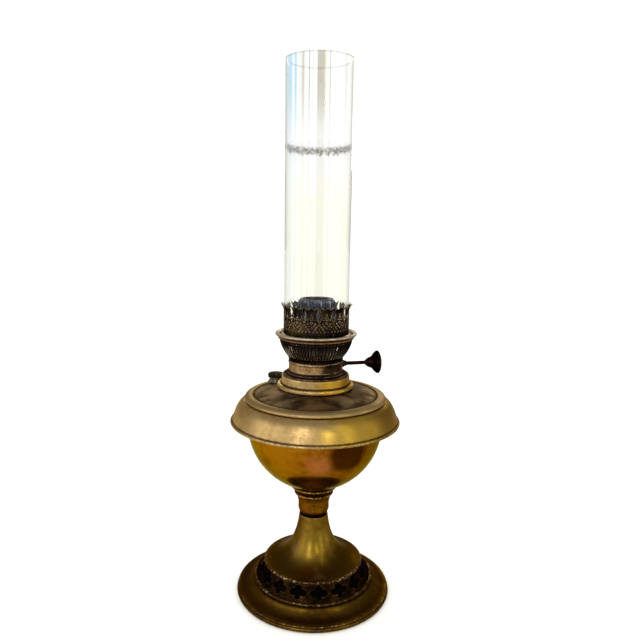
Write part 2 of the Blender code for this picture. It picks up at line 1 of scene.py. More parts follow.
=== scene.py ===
"""Looks of a brass table oil lamp with a round-wick burner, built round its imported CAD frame."""

import json
import math

import bpy
from mathutils import Matrix, Vector, noise
from mathutils.geometry import delaunay_2d_cdt


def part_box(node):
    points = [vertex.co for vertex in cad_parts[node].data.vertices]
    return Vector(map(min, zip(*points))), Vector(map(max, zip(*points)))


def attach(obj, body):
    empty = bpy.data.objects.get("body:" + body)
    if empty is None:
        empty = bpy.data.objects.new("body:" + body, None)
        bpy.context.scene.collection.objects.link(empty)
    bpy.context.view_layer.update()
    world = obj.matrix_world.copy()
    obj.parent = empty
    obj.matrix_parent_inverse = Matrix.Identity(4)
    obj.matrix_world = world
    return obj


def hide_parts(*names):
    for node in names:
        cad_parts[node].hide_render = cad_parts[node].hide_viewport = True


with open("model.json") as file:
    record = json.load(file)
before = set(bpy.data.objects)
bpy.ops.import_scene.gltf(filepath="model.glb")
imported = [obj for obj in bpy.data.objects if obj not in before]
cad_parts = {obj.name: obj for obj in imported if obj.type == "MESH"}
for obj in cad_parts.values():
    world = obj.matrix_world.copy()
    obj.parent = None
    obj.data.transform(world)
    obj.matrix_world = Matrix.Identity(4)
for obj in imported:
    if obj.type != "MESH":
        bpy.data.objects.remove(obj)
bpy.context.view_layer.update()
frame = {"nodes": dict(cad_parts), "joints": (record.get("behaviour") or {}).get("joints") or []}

# Outlines are in millimetres, as (radius, height) from the lamp's axis, counter-clockwise round the metal.
MM = 0.001
STEPS = 180  # facets round a large turned piece
SPACING = 1.6  # longest stretch of an outline between two points
WEAR_REACH = 1.7  # how far from an edge its wear and dirt show
SHARP_ANGLE = 34  # degrees between two facets that meet in a visible edge

# Counts of what repeats, and where the first ones stand, in degrees
BAND_OPENINGS, BAND_TURN = 16, -83.0
CROWN_LEAVES, CROWN_TURN = 14, -85.1
BASKET_SLOTS, BASKET_TURN = 64, 2.0
DIFFUSER_HOLES = 28
CAP_RIBS = 40
KNOB_RIBS = 60

# Sheet thicknesses and places that more than one piece uses
BRASS = 0.8
THIN_BRASS = 0.6
NECK_SOCKET = 7.9  # height of the neck collar's plain part inside the trumpet
GLASS_WALL = 2.0
GLASS_STEPS = 280
GLASS_IOR = 1.35  # a little under real glass, which keeps the chimney's edges thin
SOOT_Z = 477.5  # middle of the ring of soot in the chimney

# Upright streaks on the glass, smoke film and painted reflections: azimuth from the front, width and strength
SMOKE_AND_REFLECTION_STREAKS = ((-84, 14, 0.6), (-58, 14, 0.7), (-43, 5, 0.9), (-34, 3, 0.4), (-28, 5, 0.7), (-17, 2, 0.8),
                 (-11, 1.5, 0.6), (3, 14, 0.85), (17, 1.5, 0.8), (48, 8, 0.25), (82, 12, 0.8))

# Area lights: name, azimuth, elevation, distance, width, height, watts and colour
LIGHTS = (("key", -19, 26, 1.6, 0.4, 1.0, 4.5, (1.0, 0.97, 0.94)),
          ("left", -66, 16, 1.5, 1.2, 1.1, 4, (1.0, 0.97, 0.94)),
          ("window", 18, 22, 1.5, 0.12, 0.45, 1.5, (1.0, 0.92, 0.24)),
          ("side", 46, 24, 1.5, 0.12, 1.6, 2.2, (1.0, 0.98, 0.6)),
          ("right", 86, 12, 1.5, 0.25, 1.0, 1.2, (1.0, 0.94, 0.7)),
          ("rim", 172, 21, 1.6, 1.5, 0.5, 4, (1.0, 0.98, 0.95)))
LIGHTS_LOOK_AT = 0.25

# The slot for each look's material
SLOTS = {"aged_brass": ("foot", "stem", "skirt", "filler", "cap", "burner_neck"),
         "golden_brass": ("neck", "bowl", "collar"),
         "dark_brass": ("band", "top", "burner", "basket", "flange", "crown", "knob"),
         "dull_steel": ("steel", "tube"), "cast_iron": ("iron",), "wick_cotton": ("cotton",),
         "washer_leather": ("leather",), "chimney_glass": ("glass",)}

# What the metal reflects: the room below, beside and above the lamp, and the table top
ROOM = ((0.12, 0.09, 0.06), (0.50, 0.46, 0.40), (0.38, 0.37, 0.35))
TABLE_LEFT, TABLE_RIGHT, TABLE_FAR = (0.62, 0.54, 0.40), (0.30, 0.24, 0.12), (0.6, 0.57, 0.5)
TABLE_HALF = 8.0

# Camera, as fitted to the lamp: millimetres, degrees, and shifts as shares of the picture's width
CAMERA_BACK, CAMERA_UP = 625.05, 404.12
CAMERA_PITCH, CAMERA_YAW, CAMERA_ROLL = 13.018, -0.737, 0.673
LENS, SENSOR = 34.2675, 36.0
SHIFT_X, SHIFT_Y = 0.01875, 0.0703125

paint = {}  # the materials by their looks' names, filled by make_materials

# ---------------------------------------------------------------- places taken from the frame


def reach(node):
    """(largest radius, lowest height, highest height) of a CAD node, in millimetres."""
    low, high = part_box(node)
    return high.x / MM, low.z / MM, high.z / MM


def joint_named(name):
    return next(joint for joint in frame["joints"] if joint["name"] == name)


KNOB_AXIS = Vector(joint_named("knob_turn")["axis"]).normalized()
SPINDLE_TURN = math.atan2(KNOB_AXIS.y, KNOB_AXIS.x)
SPINDLE_Z = joint_named("knob_turn")["pos_m"][2] / MM


# ---------------------------------------------------------------- outlines


def arc(r, z, radius, start, end, steps=10):
    """Points on a circle round (r, z), from one angle to another, in degrees from +r towards +z."""
    points = []
    for step in range(steps + 1):
        angle = math.radians(start + (end - start) * step / steps)
        points.append((r + radius * math.cos(angle), z + radius * math.sin(angle)))
    return points


def apart(angle, azimuth):
    """How far apart two directions round the lamp are, in degrees."""
    return abs((angle - azimuth + 180) % 360 - 180)


def bezier(p0, p1, p2, p3, steps=14):
    """Points along a cubic curve from p0 to p3."""
    points = []
    for step in range(steps + 1):
        t = step / steps
        weights = ((1 - t) ** 3, 3 * t * (1 - t) ** 2, 3 * t * t * (1 - t), t**3)
        points.append(tuple(sum(w * p[i] for w, p in zip(weights, (p0, p1, p2, p3))) for i in (0, 1)))
    return points


def offsets(r, z, *steps):
    """Points at these steps outwards and upwards from (r, z)."""
    return [(r + out, z + up) for out, up in steps]


def run_of(path):
    """The length of a path."""
    return sum((Vector(b) - Vector(a)).length for a, b in zip(path, path[1:]))


def sheet(path, thickness):
    """The closed outline of a sheet whose outer side is the path; the metal lies to the path's left."""
    path = [Vector(point) for point in path]
    path = [p for i, p in enumerate(path) if i == 0 or (p - path[i - 1]).length > 1e-5]
    inner = []
    for index, point in enumerate(path):
        before = (point - path[index - 1]).normalized() if index else None
        after = (path[index + 1] - point).normalized() if index + 1 < len(path) else before
        before = before or after
        normal = Vector((-before.y - after.y, before.x + after.x)).normalized()
        away = thickness / max(0.6, normal.dot(Vector((-after.y, after.x))))
        inner.append(point + normal * away)
    return [tuple(p) for p in path] + [tuple(p) for p in reversed(inner)]


def softened(points, radius, closed=True, steps=3):
    """The outline with every sharp corner rounded off to about this radius."""
    count = len(points)
    soft = []
    for index, point in enumerate(points):
        here = Vector(point)
        if not closed and index in (0, count - 1):
            soft.append(tuple(here))
            continue
        to_last = Vector(points[index - 1]) - here
        to_next = Vector(points[(index + 1) % count]) - here
        if min(to_last.length, to_next.length) < 1e-6:
            continue
        turn = math.pi - to_last.angle(to_next)
        if turn < math.radians(16):
            soft.append(tuple(here))
            continue
        back = min(radius * math.tan(turn / 2), 0.42 * to_last.length, 0.42 * to_next.length)
        start = here + to_last.normalized() * back
        end = here + to_next.normalized() * back
        for step in range(steps + 1):
            t = step / steps
            soft.append(tuple(start * (1 - t) ** 2 + here * 2 * t * (1 - t) + end * t * t))
    return soft


def spaced(points, closed, most=SPACING):
    """The outline with its long stretches divided, so that wear stays near the edges."""
    pairs = list(zip(points, points[1:] + points[:1])) if closed else list(zip(points, points[1:]))
    dense = []
    for first, second in pairs:
        first, second = Vector(first), Vector(second)
        pieces = max(1, math.ceil((second - first).length / most - 1e-6))
        dense += [tuple(first.lerp(second, step / pieces)) for step in range(pieces)]
    return dense if closed else dense + [tuple(points[-1])]


def bending(points, closed):
    """For each outline point, how strongly the outline bends outwards near it, in radians."""
    count = len(points)
    turns, places, run = [], [], 0.0
    for index in range(count):
        here = Vector(points[index])
        back = here - Vector(points[index - 1])
        on = Vector(points[(index + 1) % count]) - here
        run += back.length if index else 0.0
        places.append(run)
        ends = not closed and index in (0, count - 1)
        flat = ends or min(back.length, on.length) < 1e-6
        turns.append(0.0 if flat else math.atan2(back.x * on.y - back.y * on.x, back.dot(on)))
    found = []
    for index in range(count):
        total = 0.0
        for other in range(count):
            share = 1 - abs(places[other] - places[index]) / WEAR_REACH
            if share > 0:
                total += share * turns[other]
        found.append(total)
    return found, places


# ---------------------------------------------------------------- meshes


def make_object(name, shape, body, node, look, slot=None):
    """A piece that rides on a body and stands for a CAD node. shape is points in metres, faces and values.

    A slot is worked out from the look unless it's given, but nothing uses it."""
    slot = slot or next(found for found, looks in SLOTS.items() if look in looks)
    verts, faces, values = shape
    mesh = bpy.data.meshes.new(name)
    mesh.from_pydata([tuple(v) for v in verts], [], faces)
    for label, kind, data in values:
        attribute = mesh.attributes.new(label, kind, "POINT")
        field = "vector" if kind == "FLOAT_VECTOR" else "value"
        flat = [x for item in data for x in item] if kind == "FLOAT_VECTOR" else data
        attribute.data.foreach_set(field, flat)
    mesh.validate()
    mesh.shade_smooth()
    mesh.set_sharp_from_angle(angle=math.radians(SHARP_ANGLE))
    mesh.materials.append(paint[look])
    piece = bpy.data.objects.new(name, mesh)
    bpy.context.scene.collection.objects.link(piece)
    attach(piece, body)
    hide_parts(node)


def lathe_data(outline, steps, ripple=None):
    """Points, faces and wear values of an outline turned round z. ripple moves a point outwards."""
    closed = outline[0][0] > 1e-6 or outline[-1][0] > 1e-6
    points = spaced(outline, closed)
    bends, places = bending(points, closed)
    verts, rings, edge, groove, turned = [], [], [], [], []
    for (r, z), bend, place in zip(points, bends, places):
        count = steps if r > 1e-6 else 1
        rings.append((len(verts), count))
        for step in range(count):
            angle = 2 * math.pi * step / steps
            out = r + (ripple(angle, r, z) if ripple and r > 1e-6 else 0.0)
            verts.append(Vector((out * math.cos(angle), out * math.sin(angle), z)) * MM)
            turned.append((math.cos(angle), math.sin(angle), place))
        edge += [min(1.0, max(0.0, bend))] * count
        groove += [min(1.0, max(0.0, -bend))] * count
    pairs = list(zip(rings, rings[1:] + rings[:1])) if closed else list(zip(rings, rings[1:]))
    faces = []
    for (low, low_count), (high, high_count) in pairs:
        for step in range(steps):
            after = (step + 1) % steps
            corners = [low + step % low_count, low + after % low_count,
                       high + after % high_count, high + step % high_count]
            faces.append(tuple(dict.fromkeys(corners)))
    values = [("edge", "FLOAT", edge), ("groove", "FLOAT", groove), ("turned", "FLOAT_VECTOR", turned)]
    return verts, faces, values


def lathe(name, outline, body, node, look, steps=STEPS, ripple=None, place=None, soft=0.0, slot=None):
    """A turned piece. soft rounds its corners, and place moves it off the lamp's axis."""
    closed = outline[0][0] > 1e-6 or outline[-1][0] > 1e-6
    outline = softened(outline, soft, closed) if soft else outline
    verts, faces, values = lathe_data(outline, steps, ripple)
    if place:
        verts = [place @ v for v in verts]
    make_object(name, (verts, faces, values), body, node, look, slot)


def on_spindle():
    """From a turned piece's own axis to the spindle's, z becoming the way out from the lamp."""
    turn = Matrix.Rotation(SPINDLE_TURN, 4, "Z") @ Matrix.Rotation(math.pi / 2, 4, "Y")
    return Matrix.Translation((0, 0, SPINDLE_Z * MM)) @ turn


def inside(point, polygon):
    """True if the point is inside the polygon."""
    found = False
    for (ax, ay), (bx, by) in zip(polygon, polygon[1:] + polygon[:1]):
        if (ay > point[1]) != (by > point[1]):
            if point[0] < ax + (bx - ax) * (point[1] - ay) / (by - ay):
                found = not found
    return found


def far_from(point, polygons, gap):
    return all(abs(point[0] - x) > gap or abs(point[1] - y) > gap for polygon in polygons for x, y in polygon)


def flat_cell(outline, holes, grid):
    """Triangles of one flat repeat: an outline less its holes, with points inside it about a grid apart."""
    points, edges = [], []
    for polygon in [outline, *holes]:
        first = len(points)
        points += [Vector(p) for p in polygon]
        edges += [(first + i, first + (i + 1) % len(polygon)) for i in range(len(polygon))]
    xs, ys = [p[0] for p in outline], [p[1] for p in outline]
    rows = max(1, round((max(ys) - min(ys)) / grid))
    columns = max(1, round((max(xs) - min(xs)) / grid))
    for row in range(1, rows):
        for column in range(1, columns):
            spot = (min(xs) + (max(xs) - min(xs)) * column / columns,
                    min(ys) + (max(ys) - min(ys)) * row / rows)
            if inside(spot, outline) and far_from(spot, [outline, *holes], 0.4 * grid):
                points.append(Vector(spot))
    found = delaunay_2d_cdt(points, edges, [], 0, 1e-5)
    corners, triangles = found[0], found[2]
    kept = []
    for triangle in triangles:
        middle = sum((corners[i] for i in triangle), Vector((0, 0))) / 3
        if inside(middle, outline) and not any(inside(middle, hole) for hole in holes):
            kept.append(tuple(triangle))
    return [tuple(c) for c in corners], kept


def pierced_ring(outline, holes, grid, pitch, count, turn, surface, thickness):
    """Points, faces and wear values of a pierced sheet ring made of equal repeats.

    The flat repeat runs across its pitch from x = -pitch / 2 to pitch / 2, in millimetres like its height y.
    Its two sides must match, because neighbours join there. surface(angle, y, depth) is a point in space."""
    corners, triangles = flat_cell(spaced(outline, True, grid), holes, grid)
    numbers, flat, faces = {}, [], []
    for repeat in range(count):
        row = []
        for x, y in corners:
            share = (repeat + 0.5 + x / pitch) % count
            key = (round(share, 4) % count, round(y, 3))
            if key not in numbers:
                numbers[key] = len(flat)
                flat.append((math.radians(turn) + 2 * math.pi * (share - 0.5) / count, y))
            row.append(numbers[key])
        faces += [tuple(row[i] for i in triangle) for triangle in triangles]
    sides = {(a, b) for face in faces for a, b in zip(face, face[1:] + face[:1])}
    rim = [(a, b) for a, b in sides if (b, a) not in sides]
    on_rim = {a for pair in rim for a in pair}
    total = len(flat)
    points = [surface(angle, y, depth) * MM for depth in (0.0, thickness) for angle, y in flat]
    faces += [tuple(reversed([i + total for i in face])) for face in faces]
    faces += [(b, a, a + total, b + total) for a, b in rim]
    edge = [1.0 if i in on_rim else 0.0 for i in range(total)] * 2
    turned = [(math.cos(angle), math.sin(angle), y) for angle, y in flat] * 2
    values = [("edge", "FLOAT", edge), ("groove", "FLOAT", [0.0] * (2 * total)),
              ("turned", "FLOAT_VECTOR", turned)]
    return points, faces, values


def along(path, distance):
    """(radius, height, outward radius, outward height) at a distance along a path."""
    for first, second in zip(path, path[1:]):
        step = Vector(second) - Vector(first)
        if distance <= step.length or second == path[-1]:
            share = distance / step.length
            spot = Vector(first) + step * share
            out = Vector((step.y, -step.x)).normalized()
            return spot.x, spot.y, out.x, out.y
        distance -= step.length


def on_path(path):
    """The surface of a sheet bent round the lamp along a path, for pierced_ring."""
    def surface(angle, y, depth):
        r, z, out_r, out_z = along(path, y)
        r, z = r - out_r * depth, z - out_z * depth
        return Vector((r * math.cos(angle), r * math.sin(angle), z))

    return surface


def pierced_piece(name, body, node, look, outline, holes, grid, pitch, count, turn, path,
                  thickness=THIN_BRASS):
    """A pierced sheet ring, as pierced_ring makes it, bent round the lamp along a path."""
    shape = pierced_ring(outline, holes, grid, pitch, count, turn, on_path(path), thickness)
    make_object(name, shape, body, node, look)


def cell_outline(pitch, top, steps=10):
    """A rectangular repeat with points along its level sides, so that it can be bent."""
    level = [pitch * (step / steps - 0.5) for step in range(steps + 1)]
    return [(x, 0.0) for x in level] + [(x, top) for x in reversed(level)]


def round_hole(radius, steps=10, x=0.0, y=0.0, stretch=1.0):
    """A round or upright oval hole as a flat outline."""
    angles = [2 * math.pi * i / steps for i in range(steps)]
    return [(x + radius * math.cos(a), y + stretch * radius * math.sin(a)) for a in angles]


def slot_hole(width, low, high, steps=4):
    """An upright slot with round ends."""
    r = width / 2
    angles = [math.pi * i / steps for i in range(steps + 1)]
    top = [(r * math.cos(a), high - r + r * math.sin(a)) for a in angles]
    return top + [(-r * math.cos(a), low + r - r * math.sin(a)) for a in angles]


# ---------------------------------------------------------------- materials


def srgb(red, green, blue):
    """A colour as a screen shows it, from 0 to 255, in linear light."""
    shares = [c / 255 for c in (red, green, blue)]
    return tuple(((c + 0.055) / 1.055) ** 2.4 if c > 0.04 else c / 12.92 for c in shares)


class Tree:
    """Short calls for building a material or a world out of nodes."""

    def __init__(self, owner):
        owner.use_nodes = True
        self.owner = owner
        self.nodes = owner.node_tree.nodes
        self.links = owner.node_tree.links

    def put(self, node, values):
        """Sets a node's inputs to numbers or colours, or links them to other nodes' outputs."""
        for label, value in values.items():
            socket = node.inputs[label]
            if isinstance(value, bpy.types.NodeSocket):
                self.links.new(value, socket)
            elif socket.type == "RGBA":
                socket.default_value = (*value, 1.0)
            else:
                socket.default_value = value

    def add(self, kind, values, output=0, **settings):
        """The output of a new node with these settings and inputs."""
        node = self.nodes.new("ShaderNode" + kind)
        for name, setting in settings.items():
            setattr(node, name, setting)
        self.put(node, values)
        return node.outputs[output]

    def surface(self, **values):
        """Gives the material its surface and returns it. Labels have _ where the shader's have a space."""
        self.put(self.nodes["Principled BSDF"], {k.replace("_", " "): v for k, v in values.items()})
        return self.owner

    def where(self):
        return self.add("TexCoord", {}, "Object")

    def place(self, label):
        """How far from the lamp's middle a place is along X or Y, or how high along Z, in millimetres."""
        return self.times(self.axis(self.where(), label), 1 / MM)

    def height(self):
        return self.place("Z")

    def turned(self):
        """Where a place is on a turned piece: its direction as X and Y, and the way along the outline."""
        return self.value("turned", "Vector")

    def across(self):
        """From -1 at the lamp's left to 1 at its right, as the camera sees it."""
        return self.axis(self.turned(), "X")

    def azimuth(self):
        """The angle of a place round the lamp, in radians: 0 on the camera's side, 90 degrees at +X."""
        return self.math("ARCTAN2", self.place("X"), self.times(self.place("Y"), -1.0))

    def value(self, label, output="Fac"):
        return self.add("Attribute", {}, output, attribute_name=label)

    def axis(self, vector, label):
        return self.add("SeparateXYZ", {0: vector}, label)

    def scaled(self, vector, factors):
        return self.add("VectorMath", {0: vector, 1: factors}, operation="MULTIPLY")

    def noise(self, vector, scale, detail=4.0, roughness=0.55, distortion=0.0):
        return self.add("TexNoise", {"Vector": vector, "Scale": scale, "Detail": detail,
                                     "Roughness": roughness, "Distortion": distortion}, "Fac")

    def math(self, operation, a, b=0.0, clamp=False):
        return self.add("Math", {0: a, 1: b}, operation=operation, use_clamp=clamp)

    def times(self, a, b, clamp=False):
        return self.math("MULTIPLY", a, b, clamp)

    def plus(self, a, b, clamp=False):
        return self.math("ADD", a, b, clamp)

    def varied(self, value, other, share):
        """The value pushed up and down by a share of a noise whose middle is 0.5."""
        return self.plus(value, self.times(self.math("SUBTRACT", other, 0.5), share))

    def wavy(self, value, scale, detail, size):
        """The value raised by up to size in waves, so that a limit on it has a ragged edge."""
        return self.plus(value, self.times(self.noise(self.where(), scale, detail), size))

    def span(self, value, low, high, to_low=0.0, to_high=1.0):
        """The value from low to high turned smoothly into to_low to to_high, and held there outside."""
        return self.add("MapRange", {"Value": value, "From Min": low, "From Max": high, "To Min": to_low,
                                     "To Max": to_high}, interpolation_type="SMOOTHSTEP")

    def mix(self, factor, a, b):
        return self.add("Mix", {0: factor, 6: a, 7: b}, 2, data_type="RGBA")

    def stain(self, colour, shown, value, low, high, to_low=0.0, to_high=1.0):
        """The colour with a screen colour over it, where the value's span is above 0."""
        return self.mix(self.span(value, low, high, to_low, to_high), colour, srgb(*shown))

    def ramp(self, value, *stops):
        """A colour for the value, out of stops given as (place, colour)."""
        node = self.nodes.new("ShaderNodeValToRGB")
        for place, _ in stops[1:-1]:
            node.color_ramp.elements.new(place)
        for element, (_, colour) in zip(node.color_ramp.elements, stops):
            element.color = (*colour, 1.0)
        self.put(node, {0: value})
        return node.outputs[0]

    def bump(self, height, strength, distance):
        return self.add("Bump", {"Height": height, "Strength": strength, "Distance": distance})


def new_material(name):
    return Tree(bpy.data.materials.new(name))


def old_metal(name, clean, tarnish, grime, worn, cover=0.5, gloss=0.2, dull=0.45, blotch=22.0, speck=0.35,
              wear=0.7, line_depth=0.25, extra=None, rubbed_from=0.42, edge_tint=None, glints_below=None,
              edge_from=0.25, satin_on=None):
    """Metal with tarnish in patches, dirt in its grooves, bright worn edges, specks and turning lines.

    clean, tarnish, grime and worn are screen colours from 0 to 255. cover is the share under tarnish, gloss
    and dull are the roughness of clean and tarnished metal, extra adds the piece's own stains, and satin_on
    tells where the metal is as dull as tarnish."""
    clean, tarnish, grime, worn = [srgb(*colour) for colour in (clean, tarnish, grime, worn)]
    tree = new_material(name)
    spot = tree.where()
    turned = tree.turned()
    patches = tree.noise(spot, blotch, 7.0, 0.62, 0.4)
    mottle = tree.noise(spot, blotch * 7.0, 6.0, 0.6)
    lines = tree.noise(tree.scaled(turned, (0.9, 0.9, 1.7)), 1.6, 6.0, 0.7)
    fine_lines = tree.noise(tree.scaled(turned, (3.0, 3.0, 9.0)), 1.0, 3.0, 0.6)
    covered = tree.varied(tree.varied(patches, mottle, 0.5), lines, 0.35)
    middle = 0.75 - 0.5 * cover
    covered = tree.span(covered, middle - 0.16, middle + 0.16)
    colour = tree.mix(covered, clean, tarnish)
    if extra:
        colour = extra(tree, colour)
    if satin_on:
        covered = tree.math("MAXIMUM", covered, satin_on(tree))

    dirt = tree.span(tree.plus(tree.value("groove"), tree.times(mottle, 0.5)), 0.35, 0.95)
    colour = tree.mix(tree.times(dirt, 0.85), colour, grime)
    bright = tree.times(tree.span(tree.value("edge"), edge_from, max(0.95, edge_from + 0.2)),
                        tree.span(tree.noise(spot, 380.0, 4.0, 0.7), rubbed_from, rubbed_from + 0.16))
    bright = tree.times(bright, tree.span(tree.noise(spot, 70.0, 3.0), 0.36, 0.6, 0.3, 1.0))
    # On the basket these bright edges are painted glints, kept below this height.
    if glints_below:
        bright = tree.times(bright, tree.span(tree.height(), glints_below, glints_below + 6.0, 1.0, 0.12))
    colour = tree.mix(tree.times(bright, wear), colour, worn)
    specks = tree.times(tree.span(tree.noise(spot, 520.0, 3.0, 0.5), 0.68, 0.74), speck)
    colour = tree.mix(specks, colour, grime)

    rough = tree.varied(tree.span(covered, 0.0, 1.0, gloss, dull), fine_lines, 0.10)
    rough = tree.plus(rough, tree.times(dirt, 0.25), True)
    height = tree.plus(tree.times(mottle, 0.35), tree.times(fine_lines, line_depth))
    height = tree.math("SUBTRACT", height, specks)
    return tree.surface(Base_Color=colour, Metallic=1.0, Roughness=rough,
                        Specular_Tint=edge_tint or [0.4 + 0.6 * c for c in clean],
                        Normal=tree.bump(height, 0.22, 0.00012))


def bowl_patina_and_painted_reflections(tree, colour):
    """Orange mottle on the bowl, with painted reflections as soft dark patches: one by the skirt on its
    right, one behind on its right, and a ring round its foot; in front, a pink painted highlight.
    """
    spot = tree.where()

    def blot(centre, radius, soft=9.0):
        away = tree.add("VectorMath", {0: spot, 1: Vector(centre) * MM}, "Value", operation="DISTANCE")
        away = tree.wavy(tree.times(away, 1 / MM), 60.0, 4.0, 10)
        return tree.span(away, radius, radius + soft, 1.0, 0.0)

    # Painted reflections: soft dark patches on the bowl's right and a dark ring round its foot.
    dark = tree.math("MAXIMUM", blot((33.0, -60.0, 183.0), 20.0), blot((40.0, 58.0, 172.0), 15.0))
    dark = tree.math("MAXIMUM", dark, tree.span(tree.height(), 126, 132, 0.7, 0.0))
    colour = tree.stain(colour, (196, 122, 60), tree.noise(spot, 26.0, 2.0), 0.5, 0.66, 0.0, 0.45)
    # A pink painted highlight on the bowl's front.
    pink = tree.times(blot((8.0, -69.0, 173.0), 4.0, 20.0), 0.55)
    colour = tree.mix(pink, colour, srgb(206, 134, 92))
    return tree.mix(tree.times(dark, 0.88), colour, srgb(64, 26, 4))


def foot_tone_and_painted_shade(tree, colour):
    """The foot is painted nearly black along the middle of its slope, a painted reflection, with painted
    shade on its left; it is golden next to its ring and darker from its ring up.
    """
    height = tree.height()
    # Painted reflection: the middle of the slope nearly black.
    low = tree.span(tree.wavy(height, 45.0, 4.0, 3), 9.5, 13.5, 1.0, 0.0)
    above_rim = tree.span(height, 6.6, 8.0, 0.0, 0.8)
    colour = tree.mix(tree.times(low, above_rim), colour, srgb(44, 24, 5))
    # Painted shade on the foot's left.
    colour = tree.stain(colour, (66, 38, 10), tree.across(), -0.8, -0.2, 0.6, 0.0)
    return tree.stain(colour, (52, 32, 14), height, 16.4, 17.4, 0.0, 0.7)


def dome_painted_shade_and_patches(tree, colour):
    """Painted shade makes the trumpet's flat dome browner than its neck, most at its sides; its lower bead is
    darker, and it has tan patches.
    """
    height, across = tree.height(), tree.across()
    # Painted shade: the dome browner than the neck.
    colour = tree.stain(colour, (72, 49, 11), tree.wavy(height, 40.0, 4.0, 14), 48, 68, 0.85, 0.0)
    # Painted shade on the trumpet's left.
    colour = tree.stain(colour, (62, 38, 12), across, -0.85, -0.3, 0.6, 0.0)
    # Painted shade on the flat dome's right.
    flat = tree.span(height, 50, 62, 0.7, 0.0)
    colour = tree.mix(tree.times(flat, tree.span(across, 0.2, 0.7)), colour, srgb(58, 38, 8))
    colour = tree.stain(colour, (52, 32, 14), height, 37.2, 38.4, 0.7, 0.0)
    return tree.stain(colour, (150, 122, 88), tree.noise(tree.where(), 34.0, 3.0), 0.56, 0.68, 0.0, 0.35)


def dark_joint(tree, colour):
    """Black dirt in the groove where the neck meets the trumpet, and brown between the neck's rings."""
    low = reach("neck_collar")[1] + NECK_SOCKET
    ragged = tree.varied(tree.height(), tree.noise(tree.where(), 260.0), 3)
    colour = tree.stain(colour, (70, 34, 6), ragged, low + 15, low + 21, 0.0, 0.55)
    return tree.stain(colour, (14, 9, 5), ragged, low + 2.6, low + 3.6, 1.0, 0.0)


def on_top(tree):
    """How far a place on the reservoir's top is from the lamp's axis, and where its shoulder bead starts."""
    flat = tree.scaled(tree.where(), (1 / MM, 1 / MM, 0.0))
    return tree.add("VectorMath", {0: flat}, "Value", operation="LENGTH"), reach("reservoir_top")[0] - 9.2


def on_shoulder(tree):
    """1 on the shoulder bead round the top plate, and 0 inside it."""
    out, bead = on_top(tree)
    return tree.span(out, bead - 0.5, bead + 1.3)


def plate_and_shoulder(tree, colour):
    """The flat plate is dark with light smears; the shoulder bead round it is satin."""
    out, bead = on_top(tree)
    spot = tree.where()
    smear = tree.span(tree.noise(tree.scaled(spot, (1.0, 1.6, 1.0)), 38.0, 4.0), 0.43, 0.63)
    shaded = tree.span(out, bead - 5, bead - 1, 0.75, 0.1)
    colour = tree.mix(tree.times(smear, shaded), colour, srgb(172, 146, 110))
    satin = tree.mix(tree.noise(spot, 60.0, 4.0), srgb(146, 122, 82), srgb(190, 164, 118))
    return tree.mix(on_shoulder(tree), colour, satin)


def skirt_stains_and_painted_shading(tree, colour):
    """The skirt turns golden and then brown to its right, as painted reflection and painted shade; it is
    stained under the shoulder, darker above its rim, and pitted.
    """
    spot = tree.where()
    low, high = reach("skirt")[1:]
    right = tree.across()
    # Painted reflection: golden right of the middle; painted shade: brown at the far right.
    colour = tree.stain(colour, (184, 150, 52), right, 0.05, 0.4, 0.0, 0.85)
    colour = tree.stain(colour, (118, 88, 38), right, 0.5, 0.9, 0.0, 0.85)
    wavy = tree.wavy(tree.height(), 90.0, 5.0, 4)
    colour = tree.stain(colour, (84, 58, 32), wavy, high + 0.2, high + 3.2, 0.0, 0.3)
    colour = tree.stain(colour, (96, 70, 36), wavy, low + 5.0, low + 7.5, 0.35, 0.0)
    cells = tree.add("TexVoronoi", {"Vector": spot, "Scale": 46.0}, "Distance")
    rare = tree.span(tree.noise(spot, 14.0, 1.0), 0.56, 0.6)
    pits = tree.times(tree.span(cells, 0.045, 0.075, 1.0, 0.0), rare)
    return tree.mix(pits, colour, srgb(52, 36, 20))


def collar_painted_highlight_and_shade(tree, colour):
    """The burner collar is tan on its left, with a golden painted highlight right of its middle and brown
    painted shade at its right.
    """
    right = tree.across()
    # Painted highlight right of the middle, then painted shade at the right.
    colour = tree.stain(colour, (206, 160, 44), right, -0.1, 0.3, 0.0, 0.85)
    return tree.stain(colour, (112, 76, 34), right, 0.5, 0.85, 0.0, 0.75)


def flange_copper_and_painted_sheen(tree, colour):
    """The gallery flange has a pale grey painted sheen on top of its roll and is copper brown below."""
    high = reach("gallery_flange")[2]
    # Painted sheen on top of the roll.
    lip = tree.span(tree.height(), high - 2.4, high - 1.2)
    return tree.mix(lip, tree.mix(0.6, colour, srgb(118, 66, 38)), srgb(196, 190, 172))


def burner_neck_painted_shade(tree, colour):
    """The burner's neck is painted nearly black on its right, as painted shade."""
    right = tree.wavy(tree.across(), 70.0, 3.0, 0.5)
    return tree.stain(colour, (20, 10, 5), right, 0.3, 0.6, 0.0, 0.94)


def olive_bloom(tree, colour):
    """Olive and plum heat colours in soft patches."""
    spot = tree.where()
    colour = tree.stain(colour, (84, 74, 20), tree.noise(spot, 45.0, 3.0), 0.5, 0.68, 0.0, 0.5)
    plum = tree.noise(tree.scaled(spot, (1.0, 1.0, 1.6)), 80.0, 2.0)
    return tree.stain(colour, (74, 50, 58), plum, 0.56, 0.66, 0.0, 0.4)


def blued_steel_with_painted_glints(tree, colour):
    """Heat-blued steel with pale upright painted highlights near its tip."""
    bars = tree.noise(tree.scaled(tree.turned(), (5.0, 5.0, 0.02)), 1.0, 2.0, 0.5)
    tip = tree.span(tree.height(), 300, 308)
    return tree.mix(tree.times(tip, tree.span(bars, 0.56, 0.62)), colour, srgb(168, 176, 196))


